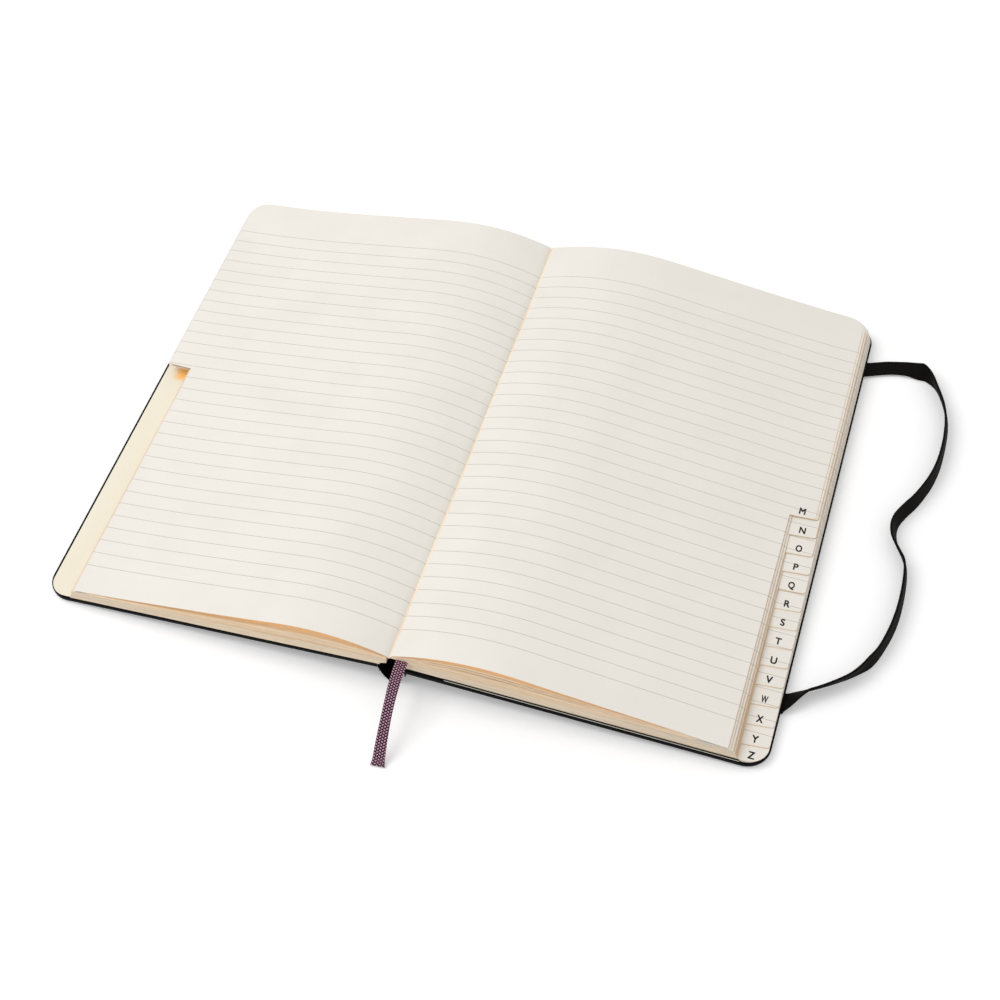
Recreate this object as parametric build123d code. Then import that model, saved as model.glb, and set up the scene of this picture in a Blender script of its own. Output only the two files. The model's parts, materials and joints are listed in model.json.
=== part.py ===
"""Hard-cover address book with a stepped thumb index, lying open between L and M.

The frame: X runs across the spread with the left page at -X, Y runs up the page with the head at +Y, Z is up
and the table is Z = 0. Each cover leans on its fore-edge, lifted at the spine, and is modelled flat in its own
frame: u is the distance from the cover's inner edge towards its fore-edge, w is the height above the board's
inner face. The front half is then turned to the left and the back half to the right.
"""

import os
from math import asin, atan2, cos, degrees, hypot, radians, sin, tan

from build123d import *

# Covers
cover_width = 130.0
cover_height = 210.0
cover_corner_radius = 9.0
board_thickness = 1.9
skin_thickness = 0.3
spine_lift = 6.9

# Endpapers
pastedown_thickness = 0.18
pastedown_margin = 1.2
flyleaf_thickness = 0.12

# Text block
letters = "abcdefghijklmnopqrstuvwxyz"
left_letters = 12
leaf_thickness = 0.09
leaves_per_section = 3
air_gap = 0.02
head_square = 2.2
tail_square = 0.6
fore_edge_square = 1.0
leaf_corner_radius = 7.0
tab_width = 9.6
tab_pitch = 8.08
first_tab_height = 6.9
bound_start = 0.5
bound_shear = 2.1

# The two leaves that stand off their stacks
open_leaf_thickness = 0.12
gutter_reach = 3.3
left_root_height = 2.2
left_crest_distance = 16.0
left_crest_height = 11.1
left_landing_margin = 20.6
left_landing_height = 0.8
left_draw_in = 0.1
right_root_height = 0.8
right_crest_distance = 19.3
right_crest_height = 11.5
right_landing_margin = 9.5
right_landing_height = 0.1
right_draw_in = 1.5

# Spine covering and lining
spine_skin_thickness = 0.5
spine_side_clearance = 0.3
spine_wall_drop = 1.3
mull_thickness = 0.2
mull_clearance = 0.1

# Expanding pocket inside the back cover
pocket_mouth = 15.0
pocket_margin = 0.5
pocket_back_thickness = 0.2
pocket_front_thickness = 0.3
gusset_thickness = 0.3
gusset_depth = 10.0
pocket_fold_width = 1.0

# Ribbon marker
ribbon_width = 4.4
ribbon_thickness = 0.3
ribbon_overhang = 0.9
ribbon_exit_length = 2.7
ribbon_gap = 0.3

# Elastic closure
elastic_width = 6.4
elastic_thickness = 0.9
elastic_anchor_depth = 8.0
elastic_stub = 1.0
elastic_gap = 0.3
elastic_head_inset = 20.8
elastic_tail_inset = 29.0
closing_clearance = 0.42

# Share of the shorter run beside a corner that the corner's arc takes up
cord_arc_share = 0.45
open_leaf_arc_share = 0.9

# Route of the free elastic on the table: x beyond the fore-edge and y
elastic_route = [
    (20.5, 89.3),
    (31.5, 76.5),
    (36.3, 55.0),
    (34.0, 33.0),
    (22.5, 8.5),
    (30.3, -6.0),
    (32.5, -24.0),
    (30.0, -45.0),
    (18.0, -64.5),
]
# Route of the ribbon's free tail: distance out from its swing axis and drop below it
ribbon_route = [(6.5, 0.7), (14.5, 3.3), (22.7, 8.2)]
ribbon_reach = 29.2
ribbon_end_height = 0.6
ribbon_drift = 3.6

# Sizes that follow from those above
LEFT, RIGHT = -1, 1
cover_thickness = board_thickness + skin_thickness
tilt = degrees(asin(spine_lift / cover_width))
joint_z = cover_thickness * cos(radians(tilt)) + spine_lift
leaf_width = cover_width - fore_edge_square - bound_start
leaf_height = cover_height - head_square - tail_square
leaf_middle = (tail_square - head_square) / 2
section_thickness = leaf_thickness * leaves_per_section
section_pitch = section_thickness + air_gap
right_letters = len(letters) - left_letters
pocket_base = pastedown_thickness
gusset_base = pocket_base + pocket_back_thickness
pocket_front_base = gusset_base + gusset_thickness
back_flyleaf_base = pocket_front_base + pocket_front_thickness + air_gap
left_stack_base = pastedown_thickness + flyleaf_thickness + air_gap
right_stack_base = back_flyleaf_base + flyleaf_thickness + air_gap
left_stack_top = left_stack_base + left_letters * section_pitch
right_stack_top = right_stack_base + right_letters * section_pitch
spine_gap = left_stack_top + right_stack_top + ribbon_thickness + closing_clearance
joint_x = spine_gap / 2
stack_top = {LEFT: left_stack_top, RIGHT: right_stack_top}
elastic_head_y = cover_height / 2 - elastic_head_inset
elastic_tail_y = elastic_tail_inset - cover_height / 2


def in_place(side, shape):
    """Carry a shape from a cover's own flat frame to where that cover lies."""
    return Pos(side * joint_x, 0, joint_z) * Rot(0, side * tilt, 0) * shape


def in_block(side, shape):
    """Carry a shape of the text block, modelled about its own middle height, to where it lies in its cover."""
    return in_place(side, Pos(0, leaf_middle, 0) * shape)


def to_book(side, u, w):
    """The x and z of a point given in a cover's own frame."""
    angle = radians(tilt)
    x = side * (joint_x + u * cos(angle) + w * sin(angle))
    return x, joint_z - u * sin(angle) + w * cos(angle)


def rounded_plan(side, inner, outer, height, radius):
    """A plate's outline with its two fore-edge corners rounded."""
    plan = Pos(side * (inner + outer) / 2, 0) * Rectangle(outer - inner, height)
    corners = plan.vertices().sort_by(Axis.X, reverse=side == RIGHT)[:2]
    return fillet(corners, radius)


def leaf_plan(side, inner, tab_end):
    """A leaf's outline, cut back by the tab width below tab_end so that the later tabs show."""
    outer = inner + leaf_width
    plan = rounded_plan(side, inner, outer, leaf_height, leaf_corner_radius)
    cut_height = tab_end + leaf_height / 2
    if cut_height > 0:
        cut = Rectangle(tab_width, cut_height)
        plan -= Pos(side * (outer - tab_width / 2), (tab_end - leaf_height / 2) / 2) * cut
    return plan


def slab(plan, base, thickness):
    """A flat piece of the given outline, with its lower face at w = base."""
    return Pos(0, 0, base) * extrude(plan, thickness)


def bound_edge(side, w):
    """Distance of a leaf's bound edge from the cover's inner edge, where the leaf lies at height w."""
    return bound_start - bound_shear * w / stack_top[side]


def tab_end(index):
    """Height of the lower end of a letter's tab above the middle of the leaf."""
    return leaf_height / 2 - first_tab_height - index * tab_pitch


def corner_radii(points, share):
    """The radius at each inner point: a share of the shorter run over the tangent of half the turn."""
    radii = []
    for before, here, after in zip(points, points[1:], points[2:]):
        run_in = (here[0] - before[0], here[1] - before[1])
        run_out = (after[0] - here[0], after[1] - here[1])
        cross = run_in[0] * run_out[1] - run_in[1] * run_out[0]
        dot = run_in[0] * run_out[0] + run_in[1] * run_out[1]
        turn = abs(atan2(cross, dot))
        radii.append(share * min(hypot(*run_in), hypot(*run_out)) / tan(turn / 2))
    return radii


def make_cover(side):
    """A board and the covering that wraps its outer face and its three free edges."""
    board_plan = rounded_plan(
        side,
        0,
        cover_width - skin_thickness,
        cover_height - 2 * skin_thickness,
        cover_corner_radius - skin_thickness,
    )
    skin_plan = rounded_plan(side, 0, cover_width, cover_height, cover_corner_radius)
    board = slab(board_plan, -board_thickness, board_thickness)
    skin = slab(skin_plan, -cover_thickness, cover_thickness) - board
    return board, skin


def make_pastedown(side):
    """The endpaper glued to the board's inner face."""
    plan = rounded_plan(
        side,
        bound_start,
        cover_width - pastedown_margin,
        cover_height - 2 * pastedown_margin,
        cover_corner_radius - pastedown_margin,
    )
    return slab(plan, 0, pastedown_thickness)


def make_flyleaf(side, base):
    """The loose endpaper, a full leaf with no tab."""
    inner = bound_edge(side, base)
    plan = rounded_plan(side, inner, inner + leaf_width, leaf_height, leaf_corner_radius)
    return slab(plan, base, flyleaf_thickness)


def make_section(index):
    """The leaves of one letter, as they lie in their stack."""
    if index < left_letters:
        side, level, stack_base = LEFT, index, left_stack_base
    else:
        side, level, stack_base = RIGHT, len(letters) - 1 - index, right_stack_base
    base = stack_base + level * section_pitch
    return side, slab(leaf_plan(side, bound_edge(side, base), tab_end(index)), base, section_thickness)


def make_open_leaf(side, index, root_height, crest, landing, draw_in):
    """One leaf that rises from the gutter to a crest and comes down on its stack towards the fore-edge.

    The crest is a distance from the cover's inner edge and a height above the stack. The landing is a margin
    from the leaf's fore-edge and a height above the stack.
    """
    top = stack_top[side]
    inner = bound_edge(side, top) - gutter_reach
    outer = bound_edge(side, top) + leaf_width - draw_in
    points = [
        (side * inner, top + root_height),
        (side * crest[0], top + crest[1]),
        (side * (outer - landing[0]), top + landing[1]),
        (side * outer, top + landing[1]),
    ]
    path = FilletPolyline(*points, radius=corner_radii(points, open_leaf_arc_share))
    sheet = extrude(Plane.XZ * trace(path, open_leaf_thickness), leaf_height / 2, both=True)
    plan = leaf_plan(side, outer - leaf_width, tab_end(index))
    plan += Pos(side * (inner + bound_start) / 2, 0) * Rectangle(bound_start - inner, leaf_height)
    return sheet & slab(plan, top - leaf_height, 2 * leaf_height)


def make_mull(side):
    """The cloth lining along the stepped bound edges of one stack."""
    top = stack_top[side]
    low = bound_edge(side, pastedown_thickness) - mull_clearance
    high = bound_edge(side, top) - mull_clearance
    corners = [
        (side * low, pastedown_thickness),
        (side * high, top),
        (side * (high - mull_thickness), top),
        (side * (low - mull_thickness), pastedown_thickness),
    ]
    return extrude(Plane.XZ * make_face(Polyline(*corners, close=True)), leaf_height / 2, both=True)


def make_spine_skin():
    """The soft covering of the spine, a U that hangs between the covers down to the table."""
    outer_radius = joint_x - spine_side_clearance
    wall_top = joint_z - spine_wall_drop
    ring = Circle(outer_radius) - Circle(outer_radius - spine_skin_thickness)
    lower_half = Pos(0, -outer_radius / 2) * Rectangle(2 * outer_radius, outer_radius)
    profile = Pos(0, outer_radius) * (ring & lower_half)
    wall = Rectangle(spine_skin_thickness, wall_top - outer_radius)
    wall_x = outer_radius - spine_skin_thickness / 2
    for side in (LEFT, RIGHT):
        profile += Pos(side * wall_x, (outer_radius + wall_top) / 2) * wall
    return extrude(Plane.XZ * profile, cover_height / 2, both=True)


def make_pocket():
    """The pocket's two cards, joined by a fold at the fore-edge, and its gussets at head and tail."""
    outer = bound_start + leaf_width - pocket_margin
    card = rounded_plan(RIGHT, pocket_mouth, outer, leaf_height, leaf_corner_radius)
    back = slab(card, pocket_base, pocket_back_thickness)
    fold = card & Pos(outer - pocket_fold_width / 2, 0) * Rectangle(pocket_fold_width, leaf_height)
    front = slab(card, pocket_front_base, pocket_front_thickness) + slab(fold, gusset_base, gusset_thickness)
    strip = Rectangle(outer - pocket_fold_width - pocket_mouth, gusset_depth)
    strip_x = (pocket_mouth + outer - pocket_fold_width) / 2
    strip_y = (leaf_height - gusset_depth) / 2
    head = slab(card & Pos(strip_x, strip_y) * strip, gusset_base, gusset_thickness)
    tail = slab(card & Pos(strip_x, -strip_y) * strip, gusset_base, gusset_thickness)
    return back, front, head, tail


def make_elastic_anchors():
    """The flat ends of the elastic, let into the back board and out through its fore-edge."""
    length = elastic_anchor_depth + elastic_stub
    middle = cover_width + elastic_stub - length / 2
    block = Pos(middle, 0, -cover_thickness / 2) * Box(length, elastic_width, elastic_thickness)
    return Pos(0, elastic_head_y, 0) * block, Pos(0, elastic_tail_y, 0) * block


def make_elastic_band():
    """The free elastic, a flat band lying on the table from the head anchor to the tail anchor."""
    stub_x, stub_z = to_book(RIGHT, cover_width + elastic_stub, -cover_thickness / 2)
    edge_x = to_book(RIGHT, cover_width, 0)[0]
    points = [(edge_x, elastic_head_y)]
    points += [(edge_x + out, y) for out, y in elastic_route]
    points += [(edge_x, elastic_tail_y)]
    radii = corner_radii(points, cord_arc_share)
    print("elastic radii", [round(radius, 1) for radius in radii])
    path = FilletPolyline(*points, radius=radii)
    print("elastic length", round(path.length, 1))
    band = extrude(trace(path, elastic_width), elastic_thickness / 2, both=True)
    return Pos(0, 0, stub_z) * split(band, Plane.YZ.offset(stub_x + elastic_gap), keep=Keep.TOP)


def make_ribbon():
    """The ribbon between the leaves, its short exit, and its tail, which swings on a round end."""
    middle_u = bound_edge(RIGHT, right_stack_top) - ribbon_overhang + ribbon_width / 2
    base = right_stack_top
    inside = Pos(middle_u, 0, base + ribbon_thickness / 2) * Box(ribbon_width, leaf_height, ribbon_thickness)
    exit_x, exit_z = to_book(RIGHT, middle_u, base + ribbon_thickness / 2)
    exit_start = leaf_middle - leaf_height / 2 - ribbon_gap
    stub = Box(ribbon_width, ribbon_exit_length, ribbon_thickness)
    stub = Rot(0, tilt, 0) * stub
    stub = Pos(exit_x, exit_start - ribbon_exit_length / 2, exit_z) * stub
    points = [(0, 0)]
    points += [(out, -drop) for out, drop in ribbon_route]
    points += [(ribbon_reach, ribbon_end_height - exit_z)]
    radii = corner_radii(points, cord_arc_share)
    print("ribbon radii", [round(radius, 1) for radius in radii])
    path = FilletPolyline(*points, radius=radii)
    print("ribbon length", round(path.length, 1))
    strip = extrude(trace(path, ribbon_thickness), ribbon_width / 2, both=True)
    upright = Plane(origin=(0, 0, 0), x_dir=(0, -1, 0), z_dir=(-1, 0, 0))
    first_slope = degrees(atan2(ribbon_route[0][1], ribbon_route[0][0]))
    round_end = Rot(first_slope, 0, 0) * Cylinder(ribbon_width / 2, ribbon_thickness)
    swing_y = exit_start - ribbon_exit_length - ribbon_gap - ribbon_width / 2
    tail = Pos(exit_x, swing_y, exit_z) * Rot(0, 0, ribbon_drift) * (upright * strip + round_end)
    print("ribbon swing axis", round(exit_x, 3), round(swing_y, 3), "at height", round(exit_z, 3))
    return inside, stub, tail


def make_parts():
    """Every piece where it lies, by node name."""
    parts = {}
    front_board, front_skin = make_cover(LEFT)
    back_board, back_skin = make_cover(RIGHT)
    anchor_head, anchor_tail = make_elastic_anchors()
    pocket_back, pocket_front, gusset_head, gusset_tail = make_pocket()
    ribbon_inside, ribbon_exit, ribbon_tail = make_ribbon()

    parts["front_board"] = in_place(LEFT, front_board)
    parts["front_skin"] = in_place(LEFT, front_skin)
    parts["front_pastedown"] = in_place(LEFT, make_pastedown(LEFT))
    parts["front_flyleaf"] = in_block(LEFT, make_flyleaf(LEFT, pastedown_thickness))
    parts["back_board"] = in_place(RIGHT, back_board - anchor_head - anchor_tail)
    parts["back_skin"] = in_place(RIGHT, back_skin - anchor_head - anchor_tail)
    parts["back_pastedown"] = in_place(RIGHT, make_pastedown(RIGHT))
    parts["back_flyleaf"] = in_block(RIGHT, make_flyleaf(RIGHT, back_flyleaf_base))
    for index, letter in enumerate(letters):
        side, section = make_section(index)
        parts["section_" + letter] = in_block(side, section)
    left_crest = (left_crest_distance, left_crest_height)
    left_landing = (left_landing_margin, left_landing_height)
    right_crest = (right_crest_distance, right_crest_height)
    right_landing = (right_landing_margin, right_landing_height)
    open_left = make_open_leaf(
        LEFT,
        left_letters - 1,
        left_root_height,
        left_crest,
        left_landing,
        left_draw_in,
    )
    open_right = make_open_leaf(
        RIGHT,
        left_letters,
        right_root_height,
        right_crest,
        right_landing,
        right_draw_in,
    )
    parts["open_leaf_left"] = in_block(LEFT, open_left)
    parts["open_leaf_right"] = in_block(RIGHT, open_right)
    parts["mull_front"] = in_block(LEFT, make_mull(LEFT))
    parts["mull_back"] = in_block(RIGHT, make_mull(RIGHT))
    parts["spine_skin"] = make_spine_skin()
    parts["pocket_back"] = in_block(RIGHT, pocket_back)
    parts["pocket_front"] = in_block(RIGHT, pocket_front)
    parts["pocket_gusset_head"] = in_block(RIGHT, gusset_head)
    parts["pocket_gusset_tail"] = in_block(RIGHT, gusset_tail)
    parts["elastic_anchor_head"] = in_place(RIGHT, anchor_head)
    parts["elastic_anchor_tail"] = in_place(RIGHT, anchor_tail)
    parts["elastic_band"] = make_elastic_band()
    parts["ribbon_inside"] = in_block(RIGHT, ribbon_inside)
    parts["ribbon_exit"] = ribbon_exit
    parts["ribbon_tail"] = ribbon_tail
    return parts


os.makedirs("parts", exist_ok=True)
for name, shape in make_parts().items():
    export_step(shape, os.path.join("parts", name + ".step"))
gutter = to_book(RIGHT, bound_edge(RIGHT, right_stack_top) - gutter_reach, right_stack_top + right_root_height)
print("cover tilt", round(tilt, 3), "joint x", round(joint_x, 3), "joint z", round(joint_z, 3))
print("gutter axis x and z", [round(value, 3) for value in gutter])
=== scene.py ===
# %% [markdown]
# # An address book, lying open
#
# The book is built the way it is bound: two boards in a black covering, endpapers, 26 lettered sections
# of leaves, a lining at the spine, a pocket with cloth gussets, a ribbon marker and an elastic closure.
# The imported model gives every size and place, and this lesson dresses it.

# %% Load the frame
import json
from math import cos, pi, radians, sin, sqrt

import bmesh
import bpy
import numpy as np
from mathutils import Matrix, Vector


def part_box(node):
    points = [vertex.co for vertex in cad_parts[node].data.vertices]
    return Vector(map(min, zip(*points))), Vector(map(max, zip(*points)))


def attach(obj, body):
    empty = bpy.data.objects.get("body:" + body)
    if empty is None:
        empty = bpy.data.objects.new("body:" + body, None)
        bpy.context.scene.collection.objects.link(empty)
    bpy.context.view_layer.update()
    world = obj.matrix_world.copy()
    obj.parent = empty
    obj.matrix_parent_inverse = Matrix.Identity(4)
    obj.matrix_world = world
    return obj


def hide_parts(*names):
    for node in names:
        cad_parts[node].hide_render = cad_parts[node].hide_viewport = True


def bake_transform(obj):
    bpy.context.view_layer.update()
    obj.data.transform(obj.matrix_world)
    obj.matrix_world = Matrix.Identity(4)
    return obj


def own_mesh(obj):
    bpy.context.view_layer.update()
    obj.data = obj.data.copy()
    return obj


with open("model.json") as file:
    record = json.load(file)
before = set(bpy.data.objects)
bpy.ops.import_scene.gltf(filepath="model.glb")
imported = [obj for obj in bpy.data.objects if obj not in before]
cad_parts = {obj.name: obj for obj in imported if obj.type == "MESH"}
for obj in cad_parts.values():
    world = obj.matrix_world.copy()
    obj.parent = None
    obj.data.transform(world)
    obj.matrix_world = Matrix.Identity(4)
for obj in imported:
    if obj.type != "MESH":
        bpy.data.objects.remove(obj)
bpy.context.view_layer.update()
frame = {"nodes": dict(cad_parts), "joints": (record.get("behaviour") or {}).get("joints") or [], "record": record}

MM = 0.001

# %% [markdown]
# ## The two covers as drawing boards
#
# Each half of the book is flat, but leans. It is far easier to draw a leaf on a flat board and lean it
# afterwards, so each cover gets a frame of its own: u runs from its hinge to its fore-edge, y up the page
# and w off the board. The hinge's place and the slope of the cover's outer face come from the packed
# record.

# %% Cover frames
LEFT, RIGHT = -1, 1
joints = {joint["name"]: joint for joint in frame["joints"]}
mounts = {mount["name"]: mount for mount in frame["record"]["mounts"]}


def lean(side, hinge, face):
    """The matrix from a cover's flat frame to where the cover lies."""
    off_board = -Vector(mounts[face]["axis"])
    across = Vector((side * off_board.z, 0, -side * off_board.x))
    place = Matrix((across, (0, 1, 0), off_board)).transposed().to_4x4()
    place.translation = Vector(joints[hinge]["pos_m"])
    return place


COVER = {
    LEFT: lean(LEFT, "front_cover_hinge", "front_face"),
    RIGHT: lean(RIGHT, "back_cover_hinge", "back_face"),
}


def flat_points(node, side):
    """A node's corners in its cover's flat frame."""
    back = np.array(COVER[side].inverted())
    points = np.array([vertex.co for vertex in frame["nodes"][node].data.vertices])
    return points @ back[:3, :3].T + back[:3, 3]


def flat_box(node, side):
    """Lowest and highest u, y and w of a node in its cover's flat frame."""
    points = flat_points(node, side)
    return Vector(points.min(0)), Vector(points.max(0))


skin_low, skin_high = flat_box("back_skin", RIGHT)
cover_width = skin_high.x
cover_height = skin_high.y - skin_low.y
cover_thickness = -skin_low.z
print("cover", [round(value / MM, 2) for value in (cover_width, cover_height, cover_thickness)], "mm")

# %% [markdown]
# ## A short way to wire nodes
#
# Every finish and every node tree below is wired in code. One small helper adds a node, sets its options
# and fills or links its inputs, so that a graph reads like a recipe.

# %% Node helper
MIX_FIRST, MIX_SECOND, MIX_RESULT = 6, 7, 2


class Graph:
    """Adds nodes to a tree. An input goes by its socket's name or number, and holds a value or a socket."""

    def __init__(self, tree):
        self.tree = tree

    def add(self, kind, inputs=None, **settings):
        node = self.tree.nodes.new(kind)
        for key, value in settings.items():
            setattr(node, key, value)
        for key, value in (inputs or {}).items():
            if isinstance(value, bpy.types.NodeSocket):
                self.tree.links.new(value, node.inputs[key])
            else:
                node.inputs[key].default_value = value
        return node

    def math(self, operation, first, second=0.0):
        return self.add("ShaderNodeMath", {0: first, 1: second}, operation=operation).outputs[0]

    def mix(self, factor, first, second):
        inputs = {0: factor, MIX_FIRST: first, MIX_SECOND: second}
        return self.add("ShaderNodeMix", inputs, data_type="RGBA").outputs[MIX_RESULT]

    def remap(self, value, low, high, to_low=0.0, to_high=1.0):
        inputs = {"Value": value, "From Min": low, "From Max": high, "To Min": to_low, "To Max": to_high}
        return self.add("ShaderNodeMapRange", inputs, interpolation_type="SMOOTHSTEP").outputs["Result"]

    def noise(self, vector, scale, detail=3.0):
        inputs = {"Vector": vector, "Scale": scale, "Detail": detail}
        return self.add("ShaderNodeTexNoise", inputs).outputs["Fac"]


def new_finish(name, colour, roughness):
    """A material with one Principled shader, and a graph to add to."""
    material = bpy.data.materials.new(name)
    material.use_nodes = True
    shader = material.node_tree.nodes["Principled BSDF"]
    shader.inputs["Base Color"].default_value = (*colour, 1)
    shader.inputs["Roughness"].default_value = roughness
    return material, Graph(material.node_tree), shader


def add_relief(graph, shader, height, strength, depth):
    """Bump from a height."""
    bump = graph.add("ShaderNodeBump", {"Height": height, "Strength": strength, "Distance": depth})
    graph.tree.links.new(bump.outputs["Normal"], shader.inputs["Normal"])


# %% [markdown]
# ## Printed rules
#
# The pages are ruled in grey. The lines could be thin strips of mesh, but ink has no height, so they
# belong in the paper's material: a rule runs at each step of the page's own height, which is Object Y
# here, straight over the arch and out over the tabs.

# %% Ruling
first_rule = 85.2 * MM
rule_pitch = 5.93 * MM
rule_count = 31
rule_half_width = 0.07 * MM
rule_softness = 0.10 * MM
rule_strength = 0.72
rule_tone = (0.37, 0.34, 0.3, 1)


def ruling(graph, height):
    """1 on the printed rules, 0 between them and in the head and tail margins."""
    steps = graph.math("DIVIDE", graph.math("SUBTRACT", first_rule, height), rule_pitch)
    off_step = graph.math("ABSOLUTE", graph.math("SUBTRACT", steps, graph.math("ROUND", steps)))
    distance = graph.math("MULTIPLY", off_step, rule_pitch)
    line = graph.remap(distance, rule_half_width, rule_half_width + rule_softness, 1.0, 0.0)
    middle = (rule_count - 1) / 2
    off_middle = graph.math("ABSOLUTE", graph.math("SUBTRACT", steps, middle))
    return graph.math("MULTIPLY", line, graph.math("LESS_THAN", off_middle, middle + 0.5))


print("rules", rule_count, "every", round(rule_pitch / MM, 2), "mm")

# %% [markdown]
# ## Paper
#
# The leaves are uncoated ivory paper: matt, slightly mottled, and thin enough that light comes through
# where they lift off each other. That light turns the gaps at head and tail a warm orange. Sheets that
# really let light through would take many more of them and many more samples, so the lifted leaves have
# an orange tone and a faint glow along their last millimetres instead. Endpapers, cards and boards are
# the same paper in other tones.

# %% Paper finishes
fibres_per_metre = 2600.0
mottle_per_metre = 55.0
fibre_share = 0.45
paper_roughness = 0.92
paper_specular = 0.2
paper_relief = 0.02 * MM
glow_tone = (1.0, 0.44, 0.1, 1)
glow_strength = 0.31
glow_at_edge = 0.2
glow_run = 11.0 * MM
glow_start = 1.0 * MM
warm_tone = (0.90, 0.69, 0.45, 1)
page_half = 104.0 * MM


def paper_finish(name, light_tone, dark_tone, ruled=False, glow=False):
    """Matt paper with mottled tone and fine fibres, ruled or plain, with or without the glow at its ends."""
    material, graph, shader = new_finish(name, light_tone, paper_roughness)
    place = graph.add("ShaderNodeTexCoord").outputs["Object"]
    fibres = graph.noise(place, fibres_per_metre, 2.0)
    mottle = graph.noise(place, mottle_per_metre)
    fine = graph.math("MULTIPLY", fibres, fibre_share)
    tone = graph.math("ADD", fine, graph.math("MULTIPLY", mottle, 1 - fibre_share))
    colour = graph.mix(graph.remap(tone, 0.3, 0.7), (*dark_tone, 1), (*light_tone, 1))
    height = graph.add("ShaderNodeSeparateXYZ", {"Vector": place}).outputs["Y"]
    if ruled:
        ink = graph.math("MULTIPLY", ruling(graph, height), graph.remap(fibres, 0.25, 0.75, 0.75, 1.0))
        ink = graph.math("MULTIPLY", ink, rule_strength)
        colour = graph.mix(ink, colour, rule_tone)
    graph.tree.links.new(colour, shader.inputs["Base Color"])
    shader.inputs["Specular IOR Level"].default_value = paper_specular
    if glow:
        to_end = graph.math("SUBTRACT", page_half, graph.math("ABSOLUTE", height))
        near_end = graph.remap(to_end, 0.0, glow_run, 1.0, 0.0)
        colour = graph.mix(near_end, colour, warm_tone)
        graph.tree.links.new(colour, shader.inputs["Base Color"])
        behind_edge = graph.remap(to_end, 0.0, glow_start, glow_at_edge * glow_strength, glow_strength)
        shader.inputs["Emission Color"].default_value = glow_tone
        strength = graph.math("MULTIPLY", near_end, behind_edge)
        graph.tree.links.new(strength, shader.inputs["Emission Strength"])
    add_relief(graph, shader, fibres, 0.25, paper_relief)
    return material


ivory = (0.85, 0.815, 0.755), (0.82, 0.78, 0.715)
page_finish = paper_finish("ruled_ivory_paper", *ivory, ruled=True)
lifted_finish = paper_finish("lifted_ivory_paper", *ivory, glow=True)
endpaper_finish = paper_finish("pale_yellow_endpaper", (0.86, 0.81, 0.68), (0.835, 0.78, 0.645))
card_finish = paper_finish("ivory_card", (0.8, 0.755, 0.65), (0.765, 0.715, 0.605))
board_finish = paper_finish("grey_binders_board", (0.42, 0.4, 0.37), (0.36, 0.34, 0.31))
print("paper finishes made")

# %% [markdown]
# ## Cut edges
#
# Seen from the side, a trimmed block is a stack of fine tan layers. Along die cuts and the fore-edge a
# darker tan rim is painted on the leaf's face, which stands partly for the thin cut edge and partly for
# painted shade at the step.
# Noise that is squeezed in height and stretched along the page gives those layers without a leaf for
# each.

# %% Cut edge finishes
layers_per_metre = (25.0, 25.0, 3200.0)


def cut_edge_finish(name, light_tone, dark_tone):
    """The trimmed edges of leaves: warm tan, in fine layers that follow the leaves."""
    material, graph, shader = new_finish(name, light_tone, 0.95)
    place = graph.add("ShaderNodeTexCoord").outputs["Object"]
    layers = graph.add("ShaderNodeMapping", {"Vector": place, "Scale": layers_per_metre}).outputs["Vector"]
    streaks = graph.noise(layers, 1.0, 2.0)
    colour = graph.mix(graph.remap(streaks, 0.35, 0.62), (*dark_tone, 1), (*light_tone, 1))
    graph.tree.links.new(colour, shader.inputs["Base Color"])
    shader.inputs["Specular IOR Level"].default_value = 0.1
    return material


edge_finish = cut_edge_finish("trimmed_leaf_edges", (0.96, 0.79, 0.59), (0.87, 0.68, 0.48))
# Darker tan: a rim that is partly the cut edge and partly painted shade, and painted shade on the lower lifted
# groups
rim_and_shade_finish = cut_edge_finish("die_cut_rim_and_painted_shade", (0.80, 0.62, 0.44), (0.72, 0.53, 0.35))
print("cut edges in", edge_finish.name, "and", rim_and_shade_finish.name)

# %% [markdown]
# ## Black covering
#
# The covering is an imitation leather with a fine pebble, which only shows as the light grazes it.
# Rounded cells give the pebble and a coarser noise its wrinkles. Both only bend the light, so the outline
# stays smooth.

# %% Covering finish
black_specular = 0.05
pebbles_per_metre = 1500.0
wrinkles_per_metre = 420.0
wear_per_metre = 35.0


def covering_finish():
    """Fine-grained black imitation leather."""
    material, graph, shader = new_finish("black_grained_covering", (0.003, 0.003, 0.0032), 0.5)
    place = graph.add("ShaderNodeTexCoord").outputs["Object"]
    cells = {"Vector": place, "Scale": pebbles_per_metre}
    pebble = graph.add("ShaderNodeTexVoronoi", cells, feature="SMOOTH_F1")
    wrinkle = graph.noise(place, wrinkles_per_metre)
    grain = graph.math("ADD", pebble.outputs["Distance"], graph.math("MULTIPLY", wrinkle, 0.6))
    wear = graph.noise(place, wear_per_metre)
    colour = graph.mix(graph.remap(wear, 0.3, 0.7), (0.0022, 0.0022, 0.0025, 1), (0.0045, 0.0043, 0.0045, 1))
    graph.tree.links.new(colour, shader.inputs["Base Color"])
    graph.tree.links.new(graph.remap(grain, 0.3, 1.0, 0.42, 0.6), shader.inputs["Roughness"])
    shader.inputs["Specular IOR Level"].default_value = black_specular
    add_relief(graph, shader, grain, 0.35, 0.06 * MM)
    return material


covering = covering_finish()
print("covering made")

# %% [markdown]
# ## Book cloth and ink
#
# Book cloth for the gussets and the spine lining is a plain weave, made from two crossed waves. The
# letters are printed in a plain ink, which is a little uneven.

# %% Cloth and ink finishes
ink_grain_per_metre = 3000.0


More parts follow.
